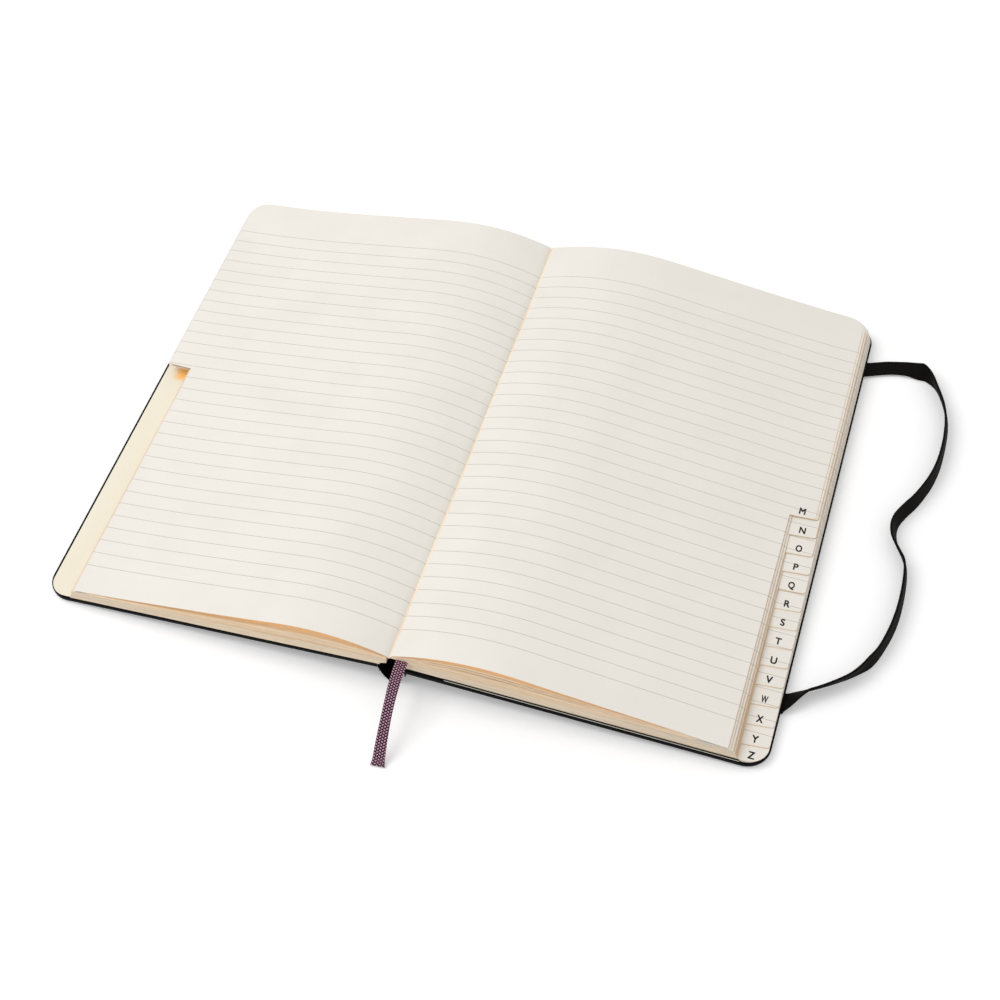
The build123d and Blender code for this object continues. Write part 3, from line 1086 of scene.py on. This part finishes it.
def warm_flyleaf_finish():
    """Endpaper with a warm patch below the left page's tab, where light falls through the tab."""
    material = endpaper_finish.copy()
    material.name = "endpaper_under_tab"
    graph = Graph(material.node_tree)
    shader = material.node_tree.nodes["Principled BSDF"]
    place = graph.add("ShaderNodeTexCoord").outputs["Object"]
    places = graph.add("ShaderNodeSeparateXYZ", {"Vector": place}).outputs
    corner = COVER[LEFT] @ Vector((section_fore_edge("l") - tab_width, tab_end("l"), 0))
    across = graph.remap(places["X"], corner.x - warm_patch_width, corner.x - warm_patch_width / 2)
    down = graph.remap(places["Y"], corner.y - warm_patch_height, corner.y - warm_patch_height / 3)
    patch = graph.math("MULTIPLY", across, down)
    plain = shader.inputs["Base Color"].links[0].from_socket
    graph.tree.links.new(graph.mix(patch, plain, warm_patch_tone), shader.inputs["Base Color"])
    shader.inputs["Emission Color"].default_value = glow_tone
    graph.tree.links.new(graph.math("MULTIPLY", patch, warm_patch_glow), shader.inputs["Emission Strength"])
    return material


sheet_finishes = {
    "front_board": board_finish,
    "back_board": board_finish,
    "front_pastedown": endpaper_finish,
    "back_pastedown": endpaper_finish,
    "back_flyleaf": endpaper_finish,
    "front_flyleaf": warm_flyleaf_finish(),
    "pocket_back": card_finish,
    "pocket_front": card_finish,
    "mull_front": edge_finish,
    "mull_back": lining_cloth,
}
for node, finish in sheet_finishes.items():
    paint(node, finish)
print("flat sheets painted", len(sheet_finishes))

# %% [markdown]
# ## Sheets swept from a section
#
# The spine covering, its two hinges and the pocket's gussets are sheets with one section all along their
# length. A short list of points gives the section, a smooth curve runs through it, and the sheet gets its
# thickness on both sides.

# %% Swept sheets


def smooth_path(points, steps):
    """A smooth line through given points."""
    points = np.array(points, float)
    lengths = np.concatenate([[0], np.cumsum(np.linalg.norm(np.diff(points, axis=0), axis=1))])
    slopes = np.gradient(points, lengths, axis=0)
    places = np.linspace(0, lengths[-1], steps)
    span = np.clip(np.searchsorted(lengths, places, "right") - 1, 0, len(points) - 2)
    gap = (lengths[span + 1] - lengths[span])[:, None]
    share = ((places - lengths[span]) / gap[:, 0])[:, None]
    near, far = points[span], points[span + 1]
    lean_near, lean_far = slopes[span] * gap, slopes[span + 1] * gap
    square, cube = share**2, share**3
    near_part = (2 * cube - 3 * square + 1) * near + (cube - 2 * square + share) * lean_near
    return near_part + (3 * square - 2 * cube) * far + (cube - square) * lean_far


def swept_sheet(name, section, ends, thickness, finish, place):
    """A sheet with one section from end to end. place turns two section values and a length to a point."""
    section = np.array(section, float)
    tangent = np.gradient(section, axis=0)
    tangent /= np.linalg.norm(tangent, axis=1)[:, None]
    normal = np.stack([-tangent[:, 1], tangent[:, 0]], 1)
    ring = np.concatenate([section + normal * thickness / 2, (section - normal * thickness / 2)[::-1]])
    rows = len(ends)
    count = len(ring)
    points = [place(*pair, length) for length in ends for pair in ring]
    faces = loop_faces(rows, count)
    for row in (0, rows - 1):
        for step in range(len(section) - 1):
            corners = [step, step + 1, count - 2 - step, count - 1 - step]
            faces.append([row * count + corner for corner in corners])
    mesh = bpy.data.meshes.new(name)
    mesh.from_pydata(points, [], faces)
    mesh.materials.append(finish)
    return mesh


def outward(mesh):
    """Turn every face of a closed mesh outwards."""
    shell = bmesh.new()
    shell.from_mesh(mesh)
    bmesh.ops.recalc_face_normals(shell, faces=shell.faces)
    shell.to_mesh(mesh)
    shell.free()
    return mesh


print("swept sheets ready")

# %% [markdown]
# ## The spine
#
# When the book lies open its soft spine hangs between the boards in a U, down to the table. At head and
# tail, where nothing fills it, the U is pinched to a V, so the points low down near the ends are drawn
# in.

# %% Spine
spine_low, spine_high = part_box("spine_skin")
spine_radius = spine_high.x
spine_thickness = 0.5 * MM
spine_pinch = 0.62
pinch_run = 9.0 * MM
spine_steps = 32
spine_rows = np.linspace(spine_low.y, spine_high.y, 71)


def pinched(x, z, y):
    """A point of the spine, drawn in low down near head and tail."""
    to_end = min(y - spine_low.y, spine_high.y - y)
    near_end = max(1 - to_end / pinch_run, 0.0) ** 2
    return (x * (1 - spine_pinch * near_end * (1 - z / spine_high.z)), y, z)


middle_radius = spine_radius - spine_thickness / 2
spine_section = [(-middle_radius, spine_high.z)]
for step in range(spine_steps + 1):
    angle = pi + step * pi / spine_steps
    spine_section.append((middle_radius * cos(angle), spine_radius + middle_radius * sin(angle)))
spine_section.append((middle_radius, spine_high.z))
spine_mesh = swept_sheet("spine_cover", spine_section, spine_rows, spine_thickness, covering, pinched)
settle(as_piece("spine_cover", outward(spine_mesh)), "spine", "cover", "spine_skin")
print("spine radius", round(spine_radius / MM, 2), "mm")

# %% [markdown]
# ## The hinges
#
# The covering folds out of the spine and under each cover. A rigid strip would tear there as the cover
# swings; here each hinge is one fixed sheet, drawn where the book lies open.

# %% Hinges
hinge_thickness = 0.3 * MM
hinge_gap = 0.02 * MM
hinge_near_cover = 1.8 * MM
hinge_onto_cover = 7.0 * MM
hinge_short = 1.7 * MM
hinge_bow = 0.35 * MM
hinge_steps = 26
# Heights on the way up the spine's wall, in radii of the spine
hinge_low, hinge_middle, hinge_high = 0.55, 1.05, 1.42
hinge_rows = np.linspace(spine_low.y + hinge_short, spine_high.y - hinge_short, 16)


def upright(x, z, y):
    """A point from its place across, its height and its place along."""
    return (x, y, z)


def make_hinge(name, side):
    """The covering that folds from the spine's wall to the underside of a cover."""
    wall = spine_radius + hinge_thickness / 2 + hinge_gap
    under = -cover_thickness - hinge_thickness / 2 - hinge_gap
    near = COVER[side] @ Vector((hinge_near_cover, 0, under))
    far = COVER[side] @ Vector((hinge_onto_cover, 0, under))
    route = [
        (side * wall, spine_radius * hinge_low),
        (side * wall, spine_radius * hinge_middle),
        (side * (wall + hinge_bow), spine_radius * hinge_high),
        (near.x, near.z),
        (far.x, far.z),
    ]
    section = smooth_path(route, hinge_steps)
    mesh = swept_sheet(name, section, hinge_rows, hinge_thickness, covering, upright)
    piece = as_piece(name, outward(mesh))
    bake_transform(piece)
    return piece


make_hinge("front_hinge", LEFT)
make_hinge("back_hinge", RIGHT)
print("hinges reach", round(hinge_onto_cover / MM, 1), "mm under the covers")

# %% [markdown]
# ## The pocket's gussets
#
# At head and tail a strip of book cloth joins the pocket's two cards. Shut, it lies folded between them,
# with a hem that stands up over the front card's edge. The back card's own edge shows below it as a thin
# pale line.

# %% Gussets
gusset_cloth_thickness = 0.09 * MM
cloth_inset = 0.05 * MM
cloth_turn = 4.0 * MM
gusset_columns = 30
hem_out = 0.26 * MM
hem_top = 1.3 * MM
card_edge_out = 0.24 * MM
card_edge_top = 0.44 * MM
corner_clear = 7.2 * MM


def make_gusset(name, end):
    """The folded cloth at one end of the pocket: end is 1 at the head and -1 at the tail."""
    low, high = flat_box(name, RIGHT)
    edge = high.y if end > 0 else low.y
    fold = low.y if end > 0 else high.y
    middle = (low.z + high.z) / 2
    layer = (high.z - low.z) / 4
    route = [
        (edge - end * cloth_inset, middle - layer),
        (edge - end * cloth_turn, middle - layer),
        (fold, middle),
        (edge - end * cloth_turn, middle + layer),
        (edge + end * hem_out / 2, middle + layer),
        (edge + end * hem_out, high.z),
        (edge + end * hem_out, hem_top),
    ]
    card_edge = [(edge + end * card_edge_out / 2, 0.0), (edge + end * card_edge_out / 2, card_edge_top)]

    def lay(y, w, u):
        return (u, y, w)

    lengths = np.linspace(low.x, high.x - corner_clear, gusset_columns)
    mesh = swept_sheet(name + "_cloth", route, lengths, gusset_cloth_thickness, gusset_cloth, lay)
    mesh.transform(COVER[RIGHT])
    piece = as_piece(name + "_cloth", outward(mesh))
    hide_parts(name)
    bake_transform(piece)
    card = swept_sheet(name + "_card", card_edge, lengths, card_edge_out, card_finish, lay)
    card.transform(COVER[RIGHT])
    settle(as_piece(name + "_card", outward(card)), "back_cover", "pocket_card")


make_gusset("pocket_gusset_head", 1)
make_gusset("pocket_gusset_tail", -1)
print("gussets folded")

# %% [markdown]
# ## Bands: elastic and ribbon
#
# Both are flat woven strips. Their lines are smooth NURBS curves whose control points are given, the
# after the imported model's. A band gets its section at each point read from that curve, turned by a
# roll that changes along it, and a UV map in millimetres, so that its weave follows it.

# %% Band helper
route_steps = 14
edge_bulge = 1.12
band_stations = [-1.0, -0.6, -0.2, 0.2, 0.6, 1.0]


def read_route(name, points):
    """Points along a smooth NURBS line with the given control points."""
    curve = bpy.data.curves.new(name, "CURVE")
    curve.dimensions = "3D"
    curve.resolution_u = route_steps
    spline = curve.splines.new("NURBS")
    spline.points.add(len(points) - 1)
    for knot, point in zip(spline.points, points):
        knot.co = (*point, 1)
    spline.order_u = 3
    spline.use_endpoint_u = True
    holder = bpy.data.objects.new(name, curve)
    bpy.context.scene.collection.objects.link(holder)
    graph = bpy.context.evaluated_depsgraph_get()
    mesh = bpy.data.meshes.new_from_object(holder.evaluated_get(graph), depsgraph=graph)
    line = np.array([vertex.co for vertex in mesh.vertices])
    bpy.data.objects.remove(holder)
    bpy.data.meshes.remove(mesh)
    return line


def run_lengths(line):
    """Length along a line up to each of its points."""
    return np.concatenate([[0], np.cumsum(np.linalg.norm(np.diff(line, axis=0), axis=1))])


def band(name, line, across, widths, thickness, finish):
    """A flat strip along a line, with across as the direction of its width at each point."""
    tangent = np.gradient(line, axis=0)
    tangent /= np.linalg.norm(tangent, axis=1)[:, None]
    across = across - (across * tangent).sum(1)[:, None] * tangent
    across /= np.linalg.norm(across, axis=1)[:, None]
    face = np.cross(tangent, across)
    half = thickness / 2
    profile = [(station, 1.0) for station in band_stations] + [(edge_bulge, 0.0)]
    profile += [(station, -1.0) for station in reversed(band_stations)] + [(-edge_bulge, 0.0)]
    lengths = run_lengths(line)
    points, places = [], []
    for at, middle in enumerate(line):
        reach = widths[at] / 2 / edge_bulge
        for side_share, off in profile:
            points.append(middle + across[at] * reach * side_share + face[at] * half * off)
            places.append((widths[at] / 2 + reach * side_share, lengths[at]))
    count = len(profile)
    faces = loop_faces(len(line), count)
    faces.append(list(range(count)))
    faces.append([(len(line) - 1) * count + step for step in reversed(range(count))])
    mesh = bpy.data.meshes.new(name)
    mesh.from_pydata([tuple(point) for point in points], [], faces)
    layer = mesh.uv_layers.new(name="weave")
    for corner in mesh.loops:
        across_mm, along_mm = places[corner.vertex_index]
        layer.data[corner.index].uv = (across_mm / MM, along_mm / MM)
    mesh.materials.append(finish)
    return as_piece(name, outward(mesh))


print("bands have", 2 * len(band_stations) + 2, "points round")

# %% [markdown]
# ## The elastic's braid
#
# The elastic is a fine ribbed braid in black. Two waves on the band's own UV map, one across the other,
# give its ribs and the threads between them, and follow it round its loop.

# %% Elastic braid
ribs_per_millimetre = 0.45
picks_per_millimetre = 0.6


def elastic_finish():
    """Black braid: close ribs along the band, crossed by finer threads."""
    material, graph, shader = new_finish("black_elastic_braid", (0.005, 0.0042, 0.004), 0.7)
    weave = graph.add("ShaderNodeUVMap", uv_map="weave").outputs["UV"]
    rib_inputs = {"Vector": weave, "Scale": ribs_per_millimetre, "Distortion": 0.4}
    ribs = graph.add("ShaderNodeTexWave", rib_inputs, bands_direction="X")
    pick_inputs = {"Vector": weave, "Scale": picks_per_millimetre, "Distortion": 0.6}
    picks = graph.add("ShaderNodeTexWave", pick_inputs, bands_direction="Y")
    threads = graph.remap(picks.outputs["Fac"], 0.0, 1.0, 0.55, 1.0)
    braid = graph.math("MULTIPLY", ribs.outputs["Fac"], threads)
    tone = graph.mix(braid, (0.002, 0.0017, 0.0016, 1), (0.0075, 0.006, 0.0052, 1))
    graph.tree.links.new(tone, shader.inputs["Base Color"])
    shader.inputs["Specular IOR Level"].default_value = black_specular
    add_relief(graph, shader, braid, 0.5, 0.08 * MM)
    return material


braid_finish = elastic_finish()
print("elastic finish", braid_finish.name)

# %% [markdown]
# ## Elastic closure
#
# The elastic starts inside the back cover and comes out flat, but a flat band can't bend in its own
# plane, so it tips up and stands on its lower edge round the loop, leaning in and out, and lies down
# again where it goes back in.

# %% Elastic
elastic_width = 6.9 * MM
elastic_thickness = 0.9 * MM
elastic_inside = 3.0 * MM
roll_evening = 4
table_gap = 0.02 * MM
# Route on the table: distance out from the fore-edge and y in millimetres, and the band's roll in degrees
elastic_route = [
    (6.4, 86.6, 0),
    (12.1, 88.1, 0),
    (18.0, 88.5, 10),
    (23.9, 85.7, 82),
    (28.6, 80.6, 108),
    (34.6, 66.8, 104),
    (35.8, 51.3, 99),
    (34.7, 36.0, 102),
    (30.0, 22.5, 107),
    (26.4, 16.5, 109),
    (23.5, 9.8, 111),
    (24.4, 2.7, 112),
    (28.1, -2.9, 111),
    (31.3, -8.8, 101),
    (32.2, -22.2, 101),
    (31.6, -35.0, 102),
    (28.7, -47.5, 97),
    (26.1, -53.2, 100),
    (22.8, -57.9, 83),
    (19.0, -62.2, 72),
    (10.7, -68.6, 64),
    (5.6, -71.6, 62),
]


def anchor_end(node):
    """Where an anchor's flat end stands proud of the fore-edge."""
    low, high = flat_box(node, RIGHT)
    return COVER[RIGHT] @ Vector((high.x, (low.y + high.y) / 2, (low.z + high.z) / 2))


def inside_cover(anchor, knot):
    """A point inside the cover, in line with an anchor's end and the first free knot."""
    share = elastic_inside / (knot[0] - anchor.x)
    return (anchor.x - elastic_inside, anchor.y - share * (knot[1] - anchor.y), anchor.z)


def make_elastic():
    """The free loop of the elastic."""
    head, tail = anchor_end("elastic_anchor_head"), anchor_end("elastic_anchor_tail")
    fore_edge = (COVER[RIGHT] @ Vector((cover_width, 0, 0))).x
    knots, rolls = [], []
    for out, y, roll in elastic_route:
        turn = radians(roll)
        resting = elastic_width / 2 * sin(turn) + elastic_thickness / 2 * abs(cos(turn))
        lift = (head.z - elastic_thickness / 2) * max(cos(turn), 0.0)
        knots.append((fore_edge + out * MM, y * MM, resting + lift))
        rolls.append(turn)
    knots = [inside_cover(head, knots[0])] + knots + [inside_cover(tail, knots[-1])]
    rolls = [0.0] + rolls + [0.0]
    line = read_route("elastic_route", knots)
    knot_runs = run_lengths(np.array(knots))
    runs = run_lengths(line)
    turn = np.interp(runs / runs[-1], knot_runs / knot_runs[-1], rolls)
    window = np.ones(2 * roll_evening + 1) / (2 * roll_evening + 1)
    turn = np.convolve(np.pad(turn, roll_evening, "edge"), window, "valid")
    turn[0] = turn[-1] = 0.0
    tangent = np.gradient(line, axis=0)
    outside = np.stack([-tangent[:, 1], tangent[:, 0], np.zeros(len(line))], 1)
    outside /= np.linalg.norm(outside, axis=1)[:, None]
    across = np.cos(turn)[:, None] * outside + np.sin(turn)[:, None] * np.array([0, 0, 1.0])
    lowest = elastic_width / 2 * np.abs(np.sin(turn)) + elastic_thickness / 2 * np.abs(np.cos(turn))
    line[:, 2] = np.maximum(line[:, 2], lowest + table_gap)
    widths = np.full(len(line), elastic_width)
    piece = band("elastic_loop", line, across, widths, elastic_thickness, braid_finish)
    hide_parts("elastic_band")
    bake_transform(piece)
    tuple(head)
    for anchor in ("elastic_anchor_head", "elastic_anchor_tail"):
        paint(anchor, gusset_cloth)


make_elastic()

# %% [markdown]
# ## The ribbon's weave
#
# The ribbon is woven in plum, with columns of pink stitches that lean left and right in turn. They are
# far too many and too flat to model, so the material draws each as a slanted oval on the ribbon's own UV
# map, which counts in millimetres.

# %% Ribbon weave
# The stitches, in millimetres across and along the ribbon and in shares of those
stitch_pitch_across = 0.9
stitch_pitch_along = 1.04
stitch_half_width = 0.37
stitch_half_length = 0.27
stitch_slant = 0.36


def ribbon_finish():
    """Plum weave with pink stitches that lean left and right in turn, column by column."""
    material, graph, shader = new_finish("plum_ribbon_weave", (0.2, 0.06, 0.13), 0.75)
    weave = graph.add("ShaderNodeUVMap", uv_map="weave").outputs["UV"]
    places = graph.add("ShaderNodeSeparateXYZ", {"Vector": weave}).outputs
    columns = graph.math("DIVIDE", places["X"], stitch_pitch_across)
    column = graph.math("FLOOR", columns)
    odd = graph.math("MODULO", column, 2.0)
    across = graph.math("SUBTRACT", graph.math("SUBTRACT", columns, column), 0.5)
    rows = graph.math("DIVIDE", places["Y"], stitch_pitch_along)
    rows = graph.math("ADD", rows, graph.math("MULTIPLY", odd, 0.5))
    along = graph.math("SUBTRACT", graph.math("FRACT", rows), 0.5)
    slant = graph.math("MULTIPLY", graph.math("SUBTRACT", odd, 0.5), 2 * stitch_slant)
    along = graph.math("ADD", along, graph.math("MULTIPLY", across, slant))
    wide = graph.math("POWER", graph.math("DIVIDE", across, stitch_half_width), 2.0)
    long = graph.math("POWER", graph.math("DIVIDE", along, stitch_half_length), 2.0)
    stitch = graph.remap(graph.math("ADD", wide, long), 0.55, 1.35, 1.0, 0.0)
    colour = graph.mix(stitch, (0.02, 0.004, 0.01, 1), (0.60, 0.34, 0.46, 1))
    graph.tree.links.new(colour, shader.inputs["Base Color"])
    shader.inputs["Specular IOR Level"].default_value = 0.2
    add_relief(graph, shader, stitch, 0.6, 0.12 * MM)
    return material


weave_finish = ribbon_finish()
print("ribbon finish", weave_finish.name)

# %% [markdown]
# ## The ribbon in the book
#
# Between the leaves the ribbon lies in the gutter under the open page, and turns with that leaf.

# %% Ribbon in the book
ribbon_thickness = 0.34 * MM
pressed_share = 0.85
ribbon_steps = 90
inside_low, inside_high = flat_box("ribbon_inside", RIGHT)
ribbon_width = inside_high.x - inside_low.x
swing_axis = Vector(joints["ribbon_swing"]["pos_m"])
hang_axis = Vector(joints["ribbon_hang"]["pos_m"])
lean_across = np.array(COVER[RIGHT].to_3x3() @ Vector((1, 0, 0)))


def make_ribbon_inside():
    """The part between the leaves, which turns with its leaf."""
    head = np.array([hang_axis.x, inside_high.y, hang_axis.z])
    tail = np.array([hang_axis.x, hang_axis.y, hang_axis.z])
    line = np.linspace(head, tail, ribbon_steps)
    across = np.tile(lean_across, (len(line), 1))
    widths = np.full(len(line), ribbon_width)
    piece = band("ribbon_in_book", line, across, widths, ribbon_thickness * pressed_share, weave_finish)
    settle(piece, "leaf_m", "ribbon", "ribbon_inside")


make_ribbon_inside()
print("ribbon", round(ribbon_width / MM, 1), "mm wide")

# %% [markdown]
# ## The ribbon's tail
#
# The ribbon comes out at the tail and hangs over the edge to the table. Just past the tail edge it twists
# from its leaf to the part that hangs free. The twist and the free tail are two pieces that meet.

# %% Ribbon tail
ribbon_flare = 0.9 * MM
ribbon_flare_run = 3.0 * MM
ribbon_level_run = 12.0 * MM
# Distance out from the swing axis and drop below it, in millimetres
ribbon_route = [(6.5, 0.7), (14.5, 3.3), (22.7, 8.2)]
ribbon_reach = 29.2
ribbon_end_height = 0.6
ribbon_drift = radians(3.6)
ribbon_waist = 0.16
# The ribbon twists over a whole number of stitches, so that the weave runs on past the joint
twist_stitches = 5


def make_ribbon_tail():
    """The part that hangs out of the book: a short twist, then the free tail."""
    knots = [hang_axis.copy(), swing_axis.copy()]
    turn = Matrix.Rotation(ribbon_drift, 3, "Z")
    for out, drop in ribbon_route:
        knots.append(swing_axis + turn @ Vector((0, -out * MM, -drop * MM)))
    low = ribbon_end_height * MM - swing_axis.z
    knots.append(swing_axis + turn @ Vector((0, -ribbon_reach * MM, low)))
    line = read_route("ribbon_route", knots)
    runs = run_lengths(line)
    level = np.array([cos(ribbon_drift), sin(ribbon_drift), 0.0])
    share = np.clip(runs / ribbon_level_run, 0, 1)[:, None]
    across = lean_across * (1 - share) + level * share
    near_end = np.clip(1 - (runs[-1] - runs) / ribbon_flare_run, 0, 1)
    waist = ribbon_waist * np.sin(pi * np.clip(runs / runs[-1], 0, 1)) ** 2
    widths = ribbon_width * (1 - waist) + ribbon_flare * near_end**2
    twist_run = twist_stitches * stitch_pitch_along * MM
    split = int(np.searchsorted(runs, twist_run))
    line[split] = [np.interp(twist_run, runs, line[:, way]) for way in range(3)]
    first, rest = slice(0, split + 1), slice(split, None)
    piece = band("ribbon_twist", line[first], across[first], widths[first], ribbon_thickness, weave_finish)
    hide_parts("ribbon_exit")
    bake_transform(piece)
    piece = band("ribbon_free_tail", line[rest], across[rest], widths[rest], ribbon_thickness, weave_finish)
    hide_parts("ribbon_tail")
    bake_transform(piece)


make_ribbon_tail()

# %% [markdown]
# ## Floor
#
# The floor is a plain white sheet that keeps the book's soft shadow. To the camera it also glows a
# little, more so far from the book, so that it reads as white without more light on the paper.

# %% Floor
floor_size = 6.0
floor_lift = 0.22
far_lift = 0.5
far_start, far_end = 0.35, 1.2


def seen_directly(graph):
    """1 for rays from the camera, straight, mirrored or through glass, and 0 for the light on the book."""
    rays = graph.add("ShaderNodeLightPath").outputs
    seen = graph.math("MAXIMUM", rays["Is Camera Ray"], rays["Is Glossy Ray"])
    return graph.math("MAXIMUM", seen, rays["Is Transmission Ray"])


def make_floor():
    """A white floor at the height of the table."""
    half = floor_size / 2
    mesh = bpy.data.meshes.new("floor")
    corners = [(-half, -half, 0), (half, -half, 0), (half, half, 0), (-half, half, 0)]
    mesh.from_pydata(corners, [], [(0, 1, 2, 3)])
    material = bpy.data.materials.new("white_floor")
    material.use_nodes = True
    graph = Graph(material.node_tree)
    material.node_tree.nodes.clear()
    matt = graph.add("ShaderNodeBsdfDiffuse", {"Color": (0.88, 0.88, 0.885, 1)})
    place = graph.add("ShaderNodeTexCoord").outputs["Object"]
    distance = graph.add("ShaderNodeVectorMath", {0: place}, operation="LENGTH").outputs["Value"]
    lift = graph.remap(distance, far_start, far_end, floor_lift, far_lift)
    glow = graph.add("ShaderNodeEmission", {"Strength": graph.math("MULTIPLY", seen_directly(graph), lift)})
    both = graph.add("ShaderNodeAddShader", {0: matt.outputs[0], 1: glow.outputs[0]})
    graph.add("ShaderNodeOutputMaterial", {"Surface": both.outputs[0]})
    mesh.materials.append(material)
    floor = bpy.data.objects.new("floor", mesh)
    bpy.context.scene.collection.objects.link(floor)


make_floor()
print("floor", floor_size, "m")

# %% [markdown]
# ## Sky and lamp
#
# One broad lamp stands high on the left, and an even white sky fills the shadows. To the camera the sky
# is plain white. To the book it is dimmer, so that the paper keeps its own tone.

# %% Sky and lamp
sky_strength = 0.72
key_power = 7.0
key_size = 0.8
key_place = (-0.74, -0.13, 1.12)


def make_sky():
    """An even white sky, brighter to the camera than to the book."""
    world = bpy.data.worlds.new("white_sky")
    world.use_nodes = True
    graph = Graph(world.node_tree)
    world.node_tree.nodes.clear()
    strength = graph.remap(seen_directly(graph), 0.0, 1.0, sky_strength, 1.0)
    sky = graph.add("ShaderNodeBackground", {"Color": (1, 1, 1, 1), "Strength": strength})
    graph.add("ShaderNodeOutputWorld", {"Surface": sky.outputs[0]})
    bpy.context.scene.world = world


def make_lamp():
    """A broad soft lamp, aimed at the middle of the book."""
    lamp = bpy.data.lights.new("key_lamp", "AREA")
    lamp.energy = key_power
    lamp.size = key_size
    holder = bpy.data.objects.new("key_lamp", lamp)
    holder.location = key_place
    holder.rotation_mode = "QUATERNION"
    holder.rotation_quaternion = (-Vector(key_place)).to_track_quat("-Z", "Y")
    bpy.context.scene.collection.objects.link(holder)


make_sky()
make_lamp()
bpy.context.scene.view_settings.view_transform = "Standard"
print("lamp", key_power, "W")

# %% [markdown]
# ## Camera
#
# The photograph looks down on the book from the tail and a little from the right. Matching the corners of
# both covers and the ruled lines gave the camera's place, its aim, a slight roll and its focal length.

# %% Camera
camera_place = Vector((156.31, -435.25, 571.59)) * MM
camera_aim = Vector((15.55, -22.86, 8.0)) * MM
camera_roll = radians(-2.52)
camera_lens = 68.607
camera_sensor = 36.0

camera = bpy.data.cameras.new("camera")
camera.lens = camera_lens
camera.sensor_width = camera_sensor
camera_holder = bpy.data.objects.new("camera", camera)
aim = (camera_aim - camera_place).to_track_quat("-Z", "Y").to_matrix() @ Matrix.Rotation(camera_roll, 3, "Z")
camera_holder.matrix_world = Matrix.Translation(camera_place) @ aim.to_4x4()
bpy.context.scene.collection.objects.link(camera_holder)
bpy.context.scene.camera = camera_holder
print("camera", [round(value, 4) for value in camera_holder.matrix_world.to_euler()])
